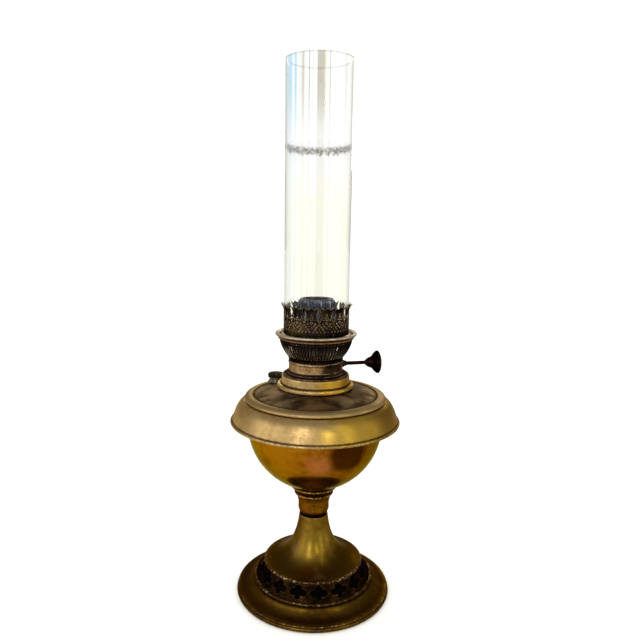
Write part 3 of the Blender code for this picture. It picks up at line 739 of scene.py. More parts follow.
def make_materials():
    """Fills paint with the lamp's metals, cotton, leather and glass."""
    paint.update({
        "foot": old_metal("foot_brass", (112, 84, 26), (72, 50, 13), (16, 9, 4), (255, 224, 192), 0.55, 0.3,
                          0.44, 26.0, 0.6, 0.6, extra=foot_tone_and_painted_shade, rubbed_from=0.53),
        "band": old_metal("band_brass", (46, 29, 10), (18, 10, 4), (5, 3, 2), (150, 116, 84), 0.6, 0.3, 0.5,
                          60.0, 0.7, 0.22),
        "stem": old_metal("stem_brass", (148, 120, 44), (108, 82, 25), (30, 18, 7), (255, 222, 184), 0.45,
                          0.31, 0.42, 20.0, 0.4, 0.7, extra=dome_painted_shade_and_patches, rubbed_from=0.48),
        "neck": old_metal("neck_brass", (144, 98, 17), (94, 54, 6), (22, 10, 4), (214, 180, 104), 0.45,
                          0.22, 0.38, 60.0, 0.4, 0.85, extra=dark_joint),
        "bowl": old_metal("bowl_brass", (166, 114, 14), (130, 72, 5), (40, 18, 4), (220, 168, 60), 0.42,
                          0.16, 0.27, 24.0, 0.3, 0.6, 0.12, bowl_patina_and_painted_reflections, edge_tint=(0.68, 0.76, 0.36)),
        "skirt": old_metal("skirt_brass", (202, 172, 117), (172, 142, 92), (52, 34, 16), (226, 196, 140),
                           0.42, 0.33, 0.44, 24.0, 0.4, 0.8, 0.18, skirt_stains_and_painted_shading),
        "top": old_metal("top_brass", (134, 112, 80), (76, 63, 45), (50, 38, 25), (206, 174, 112), 0.7,
                         0.28, 0.42, 24.0, 0.4, 0.75, extra=plate_and_shoulder,
                         satin_on=on_shoulder),
        "cap": old_metal("cap_brass", (74, 66, 46), (40, 36, 26), (14, 11, 8), (150, 136, 100), 0.6, 0.3,
                         0.46, 60.0, 0.5, 0.6),
        "filler": old_metal("filler_brass", (176, 172, 158), (92, 84, 66), (20, 16, 12), (214, 210, 196),
                            0.5, 0.22, 0.4, 120.0, 0.5, 0.6),
        "collar": old_metal("collar_brass", (198, 170, 116), (160, 132, 92), (46, 30, 14), (232, 206, 140),
                            0.4, 0.28, 0.38, 40.0, 0.4, 0.7, extra=collar_painted_highlight_and_shade),
        "burner": old_metal("burner_brass", (96, 74, 60), (50, 38, 36), (12, 9, 9), (170, 142, 114), 0.6,
                            0.28, 0.45, 50.0, 0.5, 0.8),
        "burner_neck": old_metal("burner_neck_brass", (184, 154, 112), (124, 96, 64), (22, 14, 10),
                                 (200, 176, 140), 0.5, 0.26, 0.4, 60.0, 0.5, 0.8, extra=burner_neck_painted_shade),
        # The basket's near-white bright edges are painted glints on its slots.
        "basket": old_metal("basket_brass", (46, 32, 26), (20, 14, 12), (5, 4, 4), (255, 246, 232), 0.65,
                            0.26, 0.42, 60.0, 0.4, 0.85, rubbed_from=0.24,
                            glints_below=reach("air_basket")[1] + 8.5, edge_from=0.62),
        "flange": old_metal("flange_brass", (160, 130, 98), (122, 110, 90), (20, 14, 12), (212, 206, 190),
                            0.5, 0.24, 0.42, 60.0, 0.2, 0.3, extra=flange_copper_and_painted_sheen),
        # The crown's pale edges round its holes are partly wear and partly painted highlights where the rims
        # catch light.
        "crown": old_metal("crown_brass", (54, 41, 35), (20, 17, 19), (6, 5, 7), (214, 186, 150), 0.62,
                           0.24, 0.42, 90.0, 0.6, 0.85, extra=olive_bloom, rubbed_from=0.34, edge_from=0.5),
        "tube": old_metal("wick_tube_steel", (32, 42, 92), (11, 14, 38), (4, 4, 8), (178, 184, 198), 0.6,
                          0.22, 0.4, 90.0, 0.5, 0.8, extra=blued_steel_with_painted_glints),
        "knob": old_metal("knob_brass", (66, 36, 18), (26, 16, 12), (8, 6, 5), (140, 84, 44), 0.72, 0.26,
                          0.4, 80.0, 0.4, 0.6),
        "steel": old_metal("dull_steel", (128, 128, 126), (78, 74, 70), (40, 28, 20), (190, 190, 188), 0.55,
                           0.32, 0.5, 60.0, 0.6, 0.6),
        "iron": cast_iron(),
        "cotton": woven_cotton(),
        "leather": washer_leather(),
        "glass": chimney_glass(),
    })


def cast_iron():
    tree = new_material("rough_iron")
    spot = tree.where()
    grain = tree.noise(spot, 700.0, 5.0, 0.65)
    rust = tree.span(tree.noise(spot, 40.0, 6.0, 0.65), 0.48, 0.66, 0.0, 0.5)
    # The iron is painted near black, darker than bare cast iron, as painted shade inside the foot.
    colour = tree.mix(grain, srgb(3, 3, 3), srgb(15, 13, 12))
    return tree.surface(Base_Color=tree.mix(rust, colour, srgb(24, 14, 8)), Specular_IOR_Level=0.0,
                        Roughness=tree.span(grain, 0.2, 0.8, 0.55, 0.85),
                        Normal=tree.bump(grain, 0.7, 0.0004))


def woven_cotton():
    """Plaited wick: upright strands crossed by a weft, charred at the top."""
    tree = new_material("wick_cotton")
    spot, turned = tree.where(), tree.turned()
    strands = tree.noise(tree.scaled(turned, (14.0, 14.0, 0.25)), 1.6, 2.0)
    weft = tree.noise(tree.scaled(turned, (1.0, 1.0, 2.2)), 1.3, 2.0)
    weave = tree.times(strands, weft)
    fuzz = tree.noise(spot, 900.0, 4.0)
    cream = tree.mix(tree.span(weave, 0.12, 0.4), srgb(150, 132, 104), srgb(214, 200, 172))
    cream = tree.mix(tree.times(fuzz, 0.4), cream, srgb(120, 100, 74))
    height = tree.plus(tree.height(), tree.times(fuzz, 3))
    wick_top = reach("wick")[2]
    char = tree.span(height, wick_top - 9, wick_top - 2)
    ash = tree.span(tree.noise(spot, 500.0, 3.0), 0.45, 0.6)
    ash = tree.mix(ash, srgb(20, 18, 20), srgb(112, 112, 118))
    return tree.surface(Base_Color=tree.mix(char, cream, ash), Roughness=0.95, Sheen_Weight=0.3,
                        Normal=tree.bump(tree.plus(weave, fuzz), 0.8, 0.0004))


def washer_leather():
    tree = new_material("washer_leather")
    grain = tree.noise(tree.where(), 800.0, 5.0)
    return tree.surface(Base_Color=tree.mix(grain, srgb(78, 50, 30), srgb(130, 92, 60)), Roughness=0.8,
                        Normal=tree.bump(grain, 0.6, 0.0002))


def smoke_film_and_painted_reflections(tree):
    """Faint upright streaks on the front of the glass, smoke film and painted reflections, fading from its
    rim to the ring of soot.
    """
    high = reach("chimney")[2]
    azimuth = tree.azimuth()
    film = 0.0
    for middle, width, strength in SMOKE_AND_REFLECTION_STREAKS:
        away = tree.math("ABSOLUTE", tree.math("SUBTRACT", azimuth, math.radians(middle)))
        half = math.radians(width) / 2
        streak = tree.span(away, half * 0.8, half * 1.2, strength, 0.0)
        film = tree.math("MAXIMUM", film, streak)
    height = tree.wavy(tree.height(), 30.0, 3.0, 30)
    return tree.times(film, tree.span(height, SOOT_Z + 12, high - 5, 0.25, 1.0))


def soot_on_glass(tree):
    """A ring of soot with a sharp upper edge and a ragged lower one, fainter in front than behind."""
    height, turned = tree.height(), tree.turned()
    ragged = tree.varied(height, tree.noise(tree.scaled(turned, (9.0, 9.0, 0.05)), 1.6, 5.0, 0.7), 16)
    ring_top = tree.span(height, SOOT_Z + 0.5, SOOT_Z + 5.0, 1.0, 0.0)
    ring_bottom = tree.span(ragged, SOOT_Z - 5.0, SOOT_Z - 2.5)
    smoke = tree.noise(tree.scaled(turned, (9.0, 9.0, 0.3)), 1.0, 5.0, 0.65)
    soot = tree.times(tree.times(ring_top, ring_bottom), tree.span(smoke, 0.34, 0.6, 0.1, 1.0))
    smear = tree.span(ragged, SOOT_Z - 30, SOOT_Z - 2, 0.0, 0.12)
    smear = tree.times(smear, tree.times(ring_top, smoke))
    behind = tree.span(tree.place("Y"), -14, 8, 0.12, 1.0)
    return tree.times(tree.times(tree.plus(soot, smear), behind), 0.7, True)


def chimney_glass():
    """Drawn glass: clear, faintly cream below a ring of soot, with upright draw lines."""
    tree = new_material("chimney_glass")
    soot = soot_on_glass(tree)
    below = tree.span(tree.height(), SOOT_Z - 60, SOOT_Z, 1.0, 0.0)
    glass = tree.mix(below, (0.995, 0.997, 0.99), (0.992, 0.992, 0.93))
    # Painted reflection: the streaks are bluish on the glass's left.
    bluish = tree.span(tree.azimuth(), math.radians(-40), math.radians(-32), 1.0, 0.0)
    film = tree.mix(bluish, srgb(190, 186, 170), srgb(168, 216, 240))
    glass = tree.mix(smoke_film_and_painted_reflections(tree), glass, film)
    rim = tree.span(tree.value("edge"), 0.3, 0.9, 0.0, 0.4)
    glass = tree.mix(rim, glass, srgb(178, 180, 172))
    draw = tree.noise(tree.scaled(tree.turned(), (7.0, 7.0, 0.004)), 1.0, 4.0, 0.6)
    return tree.surface(Base_Color=tree.mix(soot, glass, srgb(92, 80, 66)), IOR=GLASS_IOR,
                        Transmission_Weight=tree.span(soot, 0.0, 1.0, 1.0, 0.35),
                        Roughness=tree.span(soot, 0.0, 0.6, 0.0, 0.35), Specular_IOR_Level=0.2,
                        Normal=tree.bump(draw, 0.06, 0.0006))


# ---------------------------------------------------------------- foot and stem


def rough_bead(waves, depth):
    """A ripple that leaves a bead slightly uneven, as old pressed beading is."""
    def ripple(angle, r, z):
        spot = Vector((math.cos(angle), math.sin(angle), 0.0))
        uneven = noise.noise(spot * 9.0 + Vector((0, 0, z * 0.2)))
        return depth * (0.5 * math.cos(waves * angle) + 0.8 * uneven)

    return ripple


def only_between(ripple, low, high, inner=0.0):
    """The ripple on the part of a piece between two heights and outside a radius."""
    def part(angle, r, z):
        return ripple(angle, r, z) if low < z < high and r > inner else 0.0

    return part


def make_foot():
    r, low, high = reach("foot_shell")
    band_r = reach("pierced_band")[0]
    curl = 2.6
    path = arc(r - curl, low + curl, curl, -205, 40, 22)
    path += arc(r - 1.9, low + 5.85, 0.95, -62, 95, 10)
    path += bezier(*offsets(r, low, (-3.6, 7.0), (-8.5, 8.5), (-14.2, 10.2), (-17.6, 15.0)), 16)
    path += arc(r - 20.9, low + 18.4, 2.2, -55, 128, 16)
    path += [(band_r + 0.3, high - 1.2), (band_r - 2.6, high - 1.2)]
    ripple = only_between(rough_bead(110, 0.12), low + 17.0, high + 1.0, r - 20.9)
    lathe("foot_rim_and_slope", sheet(path, BRASS), "stand", "foot_shell", "foot", 2 * STEPS, ripple)

    wire_r = reach("foot_wire")[0] - (r - curl)
    lathe("foot_rim_wire", arc(r - curl, low + curl, wire_r, 0, 350, 15), "stand", "foot_wire", "steel", 96)

    weight_r, weight_low, weight_high = reach("foot_weight")
    hole = reach("tie_rod")[0] + 0.6
    weight = offsets(hole, weight_low, (0, 0), (9.0, 0), (10.0, 0.7))
    weight += offsets(weight_r, weight_low, (-9.0, 0.7), (-8.0, 0), (0, 0))
    weight += [(weight_r, high - 2.6), (weight_r - 9.0, high - 2.6), (weight_r - 22.0, weight_high),
               (hole, weight_high)]
    lathe("foot_iron_weight", weight, "stand", "foot_weight", "iron", 120, soft=0.8)


def lobed_opening(width, height):
    """A pierced opening of three round lobes and a smaller fourth below, as a flat outline."""
    lobes = ((90, 0.45), (3, 0.45), (177, 0.45), (270, 0.32))
    lobe_out = 0.55
    points = []
    for angle in range(0, 360, 5):
        length = 0.5
        for lobe, radius in lobes:
            away = math.radians(apart(angle, lobe))
            left = radius**2 - (lobe_out * math.sin(away)) ** 2
            if left > 0 and away < math.pi / 2:
                length = max(length, lobe_out * math.cos(away) + math.sqrt(left))
        turn = math.radians(angle)
        points.append((width / 2 * length * math.cos(turn), height / 2 * length * math.sin(turn)))
    return points


def make_pierced_band():
    r, low, high = reach("pierced_band")
    lean = 9.2
    path = [(r, low), (r - lean, high)]
    length = run_of(path)
    pitch = 2 * math.pi * (r - lean / 2) / BAND_OPENINGS
    opening = offsets(0, length / 2, *lobed_opening(19.6, 15.8))
    pierced_piece("pierced_band_sheet", "stand", "pierced_band", "band", cell_outline(pitch, length),
                  [opening], 1.3, pitch, BAND_OPENINGS, BAND_TURN, path)


def make_stem():
    r, low, high = reach("stem")
    top_r = reach("neck_collar")[0] - 9.6
    bead = 1.8
    path = [(r - 4.5, low + 0.5)] + arc(r - bead, low + bead, bead, -100, 105, 16)
    path += bezier((r - 2.8, low + 3.6), (27.0, low + 9.6), (18.2, high - 25.6), (top_r, high), 40)
    ripple = only_between(rough_bead(120, 0.10), low - 1.0, low + 2 * bead + 0.4, r - 3.0)
    lathe("trumpet_stem", sheet(path, BRASS), "stand", "stem", "stem", 2 * STEPS, ripple)


def make_neck_collar():
    r, low, high = reach("neck_collar")
    groove = low + NECK_SOCKET
    bore = 13.2
    path = [(r - 11.0, low)]
    path += offsets(r, groove, (-11.0, 0), (-10.6, 0), (-10.5, 2.7), (-9.8, 3.2))
    path += bezier(*offsets(r, groove, (-9.5, 3.7), (-8.3, 6.4), (-8.1, 9.0), (-8.9, 11.1)), 8)
    path += arc(r - 9.0, groove + 12.0, 0.55, -70, 70, 5)
    path += bezier(*offsets(r, groove, (-8.8, 12.8), (-8.2, 15.6), (-7.2, 20.0), (-6.7, 23.4)), 10)
    path += arc(r - 5.6, groove + 25.3, 1.6, -70, 80, 10)
    path += bezier(*offsets(r, groove, (-4.9, 27.2), (-4.2, 28.6), (-3.4, 30.4), (-1.6, 32.2)), 8)
    path += arc(r - 1.1, groove + 33.2, 1.1, -60, 95, 8)
    path += offsets(r, high, (-2.6, -0.9), (-3.4, -0.2), (-8.4, -1.6))
    path += [(bore, high - 5.2), (bore, low)]
    lathe("neck_turned_collar", path, "stand", "neck_collar", "neck", soft=0.12)


# ---------------------------------------------------------------- bowl and top


def make_bowl():
    r, low, high = reach("bowl")
    middle = high - 25.0
    flat = 12.0
    inner_r = r - BRASS
    start = -math.degrees(math.acos(flat / r))
    inner = [(inner_r, high)] + arc(0.0, middle, inner_r, 0, start, 40)
    outline = [(0.0, low)] + arc(0.0, middle, r, start, 0, 48) + [(r, high)] + inner + [(0.0, inner[-1][1])]
    lathe("reservoir_bowl", outline, "stand", "bowl", "bowl")


def make_skirt():
    r, low, high = reach("skirt")
    curl = 1.5
    path = arc(r - curl, low + curl, curl, -215, 75, 20)
    path += bezier(*offsets(r, low, (-1.9, 3.3), (-4.0, 8.2), (-6.2, 20.4)), (r - 14.7, high - 0.3), 30)
    path += [(r - 16.8, high)]
    lathe("flared_skirt", sheet(path, THIN_BRASS), "stand", "skirt", "skirt")
    wire = reach("skirt_wire")[0] - (r - curl)
    lathe("skirt_rim_wire", arc(r - curl, low + curl, wire, 0, 350, 13), "stand", "skirt_wire", "steel", 96)


def make_reservoir_top():
    r, low, high = reach("reservoir_top")
    hole = reach("burner_collar")[0] - 3.2
    path = [(r - 1.8, low)] + offsets(r, high, (-1.8, -12.7), (-0.5, -12.4))
    path += bezier(*offsets(r, high, (0.0, -11.4), (-0.4, -8.8), (-3.2, -7.1), (-6.8, -7.0)), 14)
    path += bezier(*offsets(r, high, (-8.2, -7.5), (-9.0, -8.4), (-9.7, -8.3), (-11.0, -7.9)), 8)
    path += bezier(*offsets(r, high, (-14.8, -6.9), (-22.0, -4.9), (-30.0, -1.8)), (hole, high), 14)
    lathe("reservoir_top_plate", sheet(path, BRASS), "stand", "reservoir_top", "top")


def round_part(node):
    """(radius, lowest height, highest height) of a round CAD node off the lamp's axis, in millimetres."""
    low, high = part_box(node)
    return (high.x - low.x) / 2 / MM, low.z / MM, high.z / MM


def make_filler():
    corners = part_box("filler_neck")
    middle = (corners[0] + corners[1]) / 2
    place = Matrix.Translation((middle.x, middle.y, 0.0))
    r, low, high = round_part("filler_neck")
    neck = [(r - 1.1, low)] + offsets(r, low, (0, 0), (0, 6.0), (2.3, 6.9), (1.1, 7.9), (0.25, 9.6))
    for turn in range(3):
        neck += offsets(r, low + 1.2 * turn, (0, 10.2), (0.25, 10.7))
    neck += [(r, high), (r - 1.1, high)]
    lathe("filler_neck_tube", neck, "stand", "filler_neck", "filler", 72, place=place, soft=0.25)

    cap_r, cap_low, cap_high = round_part("filler_cap")
    cap = [(r + 0.35, cap_low)] + offsets(cap_r, cap_low, (-0.3, 0), (-0.1, 0.4))
    cap += offsets(cap_r, cap_high, (-0.1, -1.4), (-0.9, -0.6), (-2.2, -0.3), (-2.6, -0.7), (-3.4, -0.1))
    cap += [(0.0, cap_high), (0.0, cap_high - 1.3), (r + 0.35, cap_high - 1.3)]
    knurl = only_between(lambda angle, radius, z: 0.22 * math.cos(CAP_RIBS * angle),
                         cap_low + 0.6, cap_high - 1.2, cap_r - 0.5)
    lathe("filler_screw_cap", cap, "filler_cap_group", "filler_cap", "cap", 8 * CAP_RIBS, knurl, place,
          0.25)
    washer_low = round_part("filler_washer")[1]
    washer = offsets(0.0, washer_low, (0, 0), (r - 0.1, 0), (r - 0.1, 0.5), (0, 0.5))
    lathe("filler_cap_washer", washer, "filler_cap_group", "filler_washer", "leather", 48, place=place)


def make_burner_collar():
    r, low, high = reach("burner_collar")
    bore = r - 8.4
    outline = [(bore, low)] + offsets(r, low, (-3.7, 0), (-3.7, 4.7), (-1.2, 4.7))
    outline += bezier(*offsets(r, low, (-0.2, 5.0), (0.05, 6.0), (0, 7.6), (-0.9, 8.7)), 8)
    outline += offsets(r, low, (-3.4, 9.0), (-4.4, 9.1))
    outline += offsets(r, high, (-4.9, -0.9), (-5.0, -0.5), (-5.6, 0))
    lathe("burner_screw_collar", outline + [(bore, high)], "stand", "burner_collar", "collar", soft=0.3)


# ---------------------------------------------------------------- burner


def make_burner_base():
    r, low, high = reach("burner_base")
    top = reach("burner_collar")[2]
    neck = reach("burner_neck")[1] - 0.3
    bore = reach("outer_wick_tube")[0] - 0.3
    spigot = r - 2.9
    floor = low + 7.0
    wall = 0.8
    up = reach("burner_neck")[0] - 1.3
    path = [(spigot, low), (spigot, top + 0.3), (r - 0.3, top + 0.3)]
    path += bezier(*offsets(r, top, (0, 0.7), (-0.1, 1.4), (-1.6, 1.9), (-3.4, 2.1)), 8)
    path += arc(r - 4.2, top + 2.9, 0.8, -60, 90, 7)
    path += bezier(*offsets(r, top, (-4.6, 4.0), (-5.2, 4.2), (-5.7, 4.6)), (r - 5.9, neck), 6)
    path += [(up, neck), (up, high), (up - wall, high), (up - wall, floor + 1.2), (bore, floor + 1.2)]
    path += [(bore, floor), (spigot - 1.1, floor), (spigot - 1.1, low)]
    lathe("burner_base_ring", path, "burner", "burner_base", "burner", soft=0.15)


def basket_low():
    """The basket's lower edge laps over the neck."""
    return reach("air_basket")[1] - 3.1


def make_burner_neck():
    r, low = reach("burner_neck")[:2]
    r -= 0.4
    top = basket_low() - 0.2
    path = [(r, low), (r - 0.15, low + 1.0), (r - 0.2, top - 1.5)] + arc(r - 0.1, top - 0.8, 0.6, -80, 60, 6)
    path += [(r - 0.2, top)]
    pitch = 2 * math.pi * r
    hole = round_hole(3.1, 24, y=SPINDLE_Z - low)
    pierced_piece("burner_neck_band", "burner", "burner_neck", "burner_neck",
                  cell_outline(pitch, run_of(path), STEPS), [hole], 1.4, pitch, 1,
                  math.degrees(SPINDLE_TURN), path)


def make_air_basket():
    r, low, high = reach("air_basket")
    path = [(r - 9.9, basket_low()), (r - 9.5, low)]
    path += bezier(*offsets(r, low, (-9.2, 0.8), (-6.0, 5.2), (-1.6, 11.0), (-0.3, 18.6)), 16)
    path += [(r - 0.1, high)]
    pitch = 2 * math.pi * (r - 3.4) / BASKET_SLOTS
    holes = [slot_hole(1.25, 5.8, 21.2), round_hole(0.5, 8, y=23.6)]
    pierced_piece("air_basket_slotted", "burner", "air_basket", "basket",
                  cell_outline(pitch, run_of(path), 4), holes, 1.1, pitch, BASKET_SLOTS, BASKET_TURN, path)


def make_gallery_flange():
    r, low, high = reach("gallery_flange")
    inner = reach("crown")[0] - 0.5
    roll = 1.6
    path = offsets(r, low, (-2.8, 0), (-2.7, 1.3)) + arc(r - roll, high - roll - 0.2, roll, -65, 120, 16)
    path += bezier(*offsets(r, high, (-3.4, -1.2), (-4.6, -2.4), (-6.4, -2.2)), (inner, high - 1.3), 10)
    lathe("gallery_rolled_flange", sheet(path, 0.7), "burner", "gallery_flange", "flange")


def leaf_outline(pitch, notch, top):
    """One leaf of the spring crown between two teardrop gaps, with a half hole in either side below them."""
    half = pitch / 2
    hole = 0.9
    gap = ((0.0, 0.0), (-0.6, 0.9), (-1.3, 2.2), (-2.2, 3.6), (-2.6, 5.2), (-2.6, 6.8), (-2.3, 8.0),
           (-2.0, 8.9), (-1.7, 9.9), (-1.4, 11.3), (-1.3, 12.6))
    turns = [math.radians(angle) for angle in range(-90, 91, 30)]
    right = [(half, 0.0)]
    right += offsets(half, notch - 2.3, *[(-hole * math.cos(a), hole * math.sin(a)) for a in turns])
    right += offsets(half, notch, *gap)
    right += offsets(half, top, (-1.9, -0.2), (-2.5, -1.6), (-3.3, -3.0), (-4.1, -3.4))
    right += offsets(0.0, top, (2.2, -2.8), (1.3, -1.9))
    return right + [(0.0, top - 1.3)] + [(-x, y) for x, y in reversed(right)]


def leaf_holes(pitch):
    """The small round eyes of the crown's lace in one leaf."""
    small, large = 0.6, 0.8
    holes = [round_hole(small, 8, x * pitch / 8, 7.2) for x in (-3, -1, 1, 3)]
    holes += [round_hole(large, 10, x * pitch / 4, 10.0) for x in (-1, 1)]
    holes += [round_hole(small, 8, 0.0, 11.0)]
    for side in (-1, 1):
        holes += [round_hole(small, 8, side * x, y) for x, y in ((5.3, 12.2), (2.2, 13.0), (3.9, 15.2))]
        holes += [round_hole(0.5, 8, side * 3.4, 19.0)]
    holes += [round_hole(1.1, 10, 0.0, 16.0, 1.1), round_hole(1.7, 14, 0.0, 20.6, 1.1)]
    return holes + [round_hole(small, 8, 0.0, 24.4)]


def make_crown():
    r, low, high = reach("crown")
    wall = r - 0.9
    thickness = 0.55
    path = [(wall, low), (wall, low + 22.0)]
    path += bezier(*offsets(wall, low, (0, 24.0), (0, 26.5), (0.3, 28.5)), (r + 2.6, high + 0.4), 10)
    pitch = 2 * math.pi * wall / CROWN_LEAVES
    leaf = leaf_outline(pitch, 16.4, run_of(path))
    pierced_piece("spring_crown", "burner", "crown", "crown", leaf, leaf_holes(pitch), 0.9, pitch,
                  CROWN_LEAVES, CROWN_TURN + 180.0 / CROWN_LEAVES, path, thickness)
    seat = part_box("chimney")[0].z / MM - 0.3
    ledge = offsets(wall - thickness, seat, (-2.1, -0.6), (0.2, -0.6), (0.2, 0), (-2.1, 0))
    lathe("crown_glass_ledge", ledge, "burner", "crown", "crown")


def make_diffuser():
    r, low, high = reach("diffuser_plate")
    inner = reach("outer_wick_tube")[0] - 0.4
    pitch = 2 * math.pi * r / DIFFUSER_HOLES
    depth = r - inner
    hole = round_hole(1.9, 12, 0.0, 0.45 * depth, 1.2)
    pierced_piece("diffuser_pierced_plate", "burner", "diffuser_plate", "crown",
                  cell_outline(pitch, depth, 6), [hole], 1.4, pitch, DIFFUSER_HOLES, 0.0,
                  [(r, high), (inner, high)], high - low)


# ---------------------------------------------------------------- chimney, wick and tubes


def make_chimney():
    r, low, high = reach("chimney")
    outline = [(r - GLASS_WALL, low), (r, low), (r, high), (r - GLASS_WALL, high)]
    lathe("glass_chimney", outline, "chimney_glass", "chimney", "glass", GLASS_STEPS, soft=0.9)


def windowed_tube(inner, outer, heights, steps, is_open):
    """Points and faces of an upright tube with some cells left open. is_open(angle, height) tells which."""
    numbers, verts, faces = {}, [], []

    def corner(radius, column, row):
        key = (radius, column % steps, row)
        if key not in numbers:
            numbers[key] = len(verts)
            angle = 2 * math.pi * column / steps
            verts.append(Vector((radius * math.cos(angle), radius * math.sin(angle), heights[row])) * MM)
        return numbers[key]

    def solid(column, row):
        if not 0 <= row < len(heights) - 1:
            return False
        return not is_open(360 * ((column + 0.5) % steps) / steps, (heights[row] + heights[row + 1]) / 2)

    for row in range(len(heights) - 1):
        for column in range(steps):
            if not solid(column, row):
                continue
            low_left, low_right = (column, row), (column + 1, row)
            high_right, high_left = (column + 1, row + 1), (column, row + 1)
            faces.append([corner(outer, *c) for c in (low_left, low_right, high_right, high_left)])
            faces.append([corner(inner, *c) for c in (low_left, high_left, high_right, low_right)])
            sides = (((column, row - 1), low_left, low_right), ((column + 1, row), low_right, high_right),
                     ((column, row + 1), high_right, high_left), ((column - 1, row), high_left, low_left))
            for (next_column, next_row), a, b in sides:
                if not solid(next_column, next_row):
                    faces.append([corner(inner, *a), corner(inner, *b), corner(outer, *b), corner(outer, *a)])
    turned = [(v.x / v.xy.length, v.y / v.xy.length, v.z / MM) for v in verts]
    return verts, faces, [("turned", "FLOAT_VECTOR", turned)]


def levels(*heights, step=3.0):
    """Heights with more of them between, no further apart than step."""
    found = [heights[0]]
    for low, high in zip(heights, heights[1:]):
        pieces = max(1, math.ceil((high - low) / step))
        found += [low + (high - low) * i / pieces for i in range(1, pieces + 1)]
    return found


def make_tubes():
    r, low, high = reach("outer_wick_tube")
    body, wall = r - 0.7, 0.6
    step_z = high - 9.2  # where the tube widens into its tip
    spindle = math.degrees(SPINDLE_TURN)
    arm_low, arm_high = SPINDLE_Z - 0.8, SPINDLE_Z + 17.4
    duct_low, duct_high = SPINDLE_Z + 21.4, SPINDLE_Z + 31.2

    def window(angle, z):
        arm = -5.0 < (angle - spindle - 25.0 + 180) % 360 - 180 < 9.0 and arm_low < z < arm_high
        duct = apart(angle, spindle + 180) < 17.0 and duct_low < z < duct_high
        return arm or duct

    rows = levels(low, arm_low, arm_high, duct_low, duct_high, step_z)
    shape = windowed_tube(body - wall, body, rows, 120, window)
    make_object("outer_wick_tube_body", shape, "burner", "outer_wick_tube", "tube")

    tip = offsets(body, step_z, (-wall, 0.05), (0, 0.05)) + arc(r - 0.3, step_z + 0.5, 0.35, -90, 40, 4)
    tip += [(r, step_z + 1.0), (r, high - 4.0)]
    tip += bezier(*offsets(r, high, (0, -3.0), (-0.3, -1.8), (-0.9, -1.2), (-1.5, -0.9)), 6)
    tip += offsets(r, high, (-1.75, -1.3), (-0.75, -3.4)) + [(r - 0.75, step_z + 0.8)]
    lathe("outer_wick_tube_tip", tip, "burner", "outer_wick_tube", "tube")


def make_wick():
    """A woven tube, slit into three tails below the raiser and once more where the air duct passes."""
    r, low, high = reach("wick")
    inner = r - 2.5
    opposite = math.degrees(SPINDLE_TURN) + 180
    slit_top, duct_top = SPINDLE_Z + 1.8, SPINDLE_Z + 39.4

    def slit(angle, z):
        tails = z < slit_top and min(apart(angle, opposite + 120 * k) for k in range(3)) < 31.0
        return tails or (z < duct_top and apart(angle, opposite) < 20.0)

    rows = levels(low, slit_top, duct_top, high - 0.8, high)
    verts, faces, values = windowed_tube(inner, r, rows, STEPS, slit)
    fray, sunk = 0.35, 0.3
    for vert in verts:
        angle = math.atan2(vert.y, vert.x)
        ragged = fray * noise.noise(Vector((math.cos(angle), math.sin(angle), 0.0)) * 14.0)
        if vert.z > (high - 1.0) * MM:
            vert.z += ragged * MM - sunk * MM
    make_object("round_wick", (verts, faces, values), "wick_group", "wick", "cotton")


# ---------------------------------------------------------------- knob


def make_knob():
    """The knob is a spun trumpet on a plain spindle; its outline runs out along the spindle."""
    place = on_spindle()
    rod_r, rod_in, rod_out = 2.0, 19.2, 66.0
    rod = [(0.0, rod_in), (rod_r, rod_in), (rod_r, rod_out), (0.0, rod_out)]
    lathe("knob_spindle", rod, "knob_group", "spindle", "knob", 48, place=place, soft=0.25,
          slot="dull_steel")
    outline = [(2.2, 55.2), (3.0, 55.2), (3.2, 55.8)]
    outline += bezier((3.9, 56.6), (5.2, 58.0), (5.6, 59.6), (6.2, 61.4), 8)
    outline += bezier((6.9, 63.0), (8.6, 63.8), (9.6, 64.8), (10.8, 66.3), 8)
    outline += [(11.3, 66.7), (11.1, 67.0)] + arc(11.2, 68.5, 1.1, -80, 95, 12)
    outline += [(10.2, 69.7), (9.6, 69.4), (8.4, 70.3), (5.0, 70.8), (0.0, 70.9), (0.0, 66.3), (2.2, 66.3)]
    milled = only_between(lambda angle, r, z: 0.14 * math.cos(KNOB_RIBS * angle), 67.6, 69.4, 11.0)
    lathe("wick_knob", outline, "knob_group", "knob", "knob", 4 * KNOB_RIBS, milled, place, 0.25)
    gland = [(2.15, 25.2), (2.9, 25.2), (2.9, 29.2), (4.0, 29.2), (4.0, 30.6), (3.1, 31.4), (2.8, 33.4),
             (2.15, 33.4)]
    lathe("spindle_gland_nut", gland, "burner", "spindle_gland", "knob", 48, place=place, soft=0.2)


def dress_inner_parts():
    """The plain parts inside keep the frame's own shapes and get worn metal too."""
    looks = {"tie_rod": "steel", "tie_washer": "steel", "tie_nut": "steel", "bowl_boss": "neck",
             "draught_tube": "tube", "wick_carrier": "collar", "rack": "collar", "pinion": "steel"}
    for node, look in looks.items():
        mesh = frame["nodes"][node].data
        mesh.materials.clear()
        mesh.materials.append(paint[look])


# ---------------------------------------------------------------- room


def direction(azimuth, elevation):
    """A direction from the lamp; azimuth 0 is towards the camera's side, and 90 is +X."""
    a, e = math.radians(azimuth), math.radians(elevation)
    return Vector((math.sin(a) * math.cos(e), -math.cos(a) * math.cos(e), math.sin(e)))


def add_light(name, azimuth, elevation, distance, width, height, watts, colour):
    light = bpy.data.lights.new(name, "AREA")
    light.shape = "RECTANGLE"
    light.size, light.size_y = width, height
    light.energy = watts
    light.color = colour
    lamp = bpy.data.objects.new(name, light)
    bpy.context.scene.collection.objects.link(lamp)
    towards = direction(azimuth, elevation)
    lamp.location = Vector((0, 0, LIGHTS_LOOK_AT)) + towards * distance
    lamp.rotation_mode = "QUATERNION"
    lamp.rotation_quaternion = towards.to_track_quat("Z", "Y")
    lamp.visible_camera = False
    lamp.visible_transmission = False


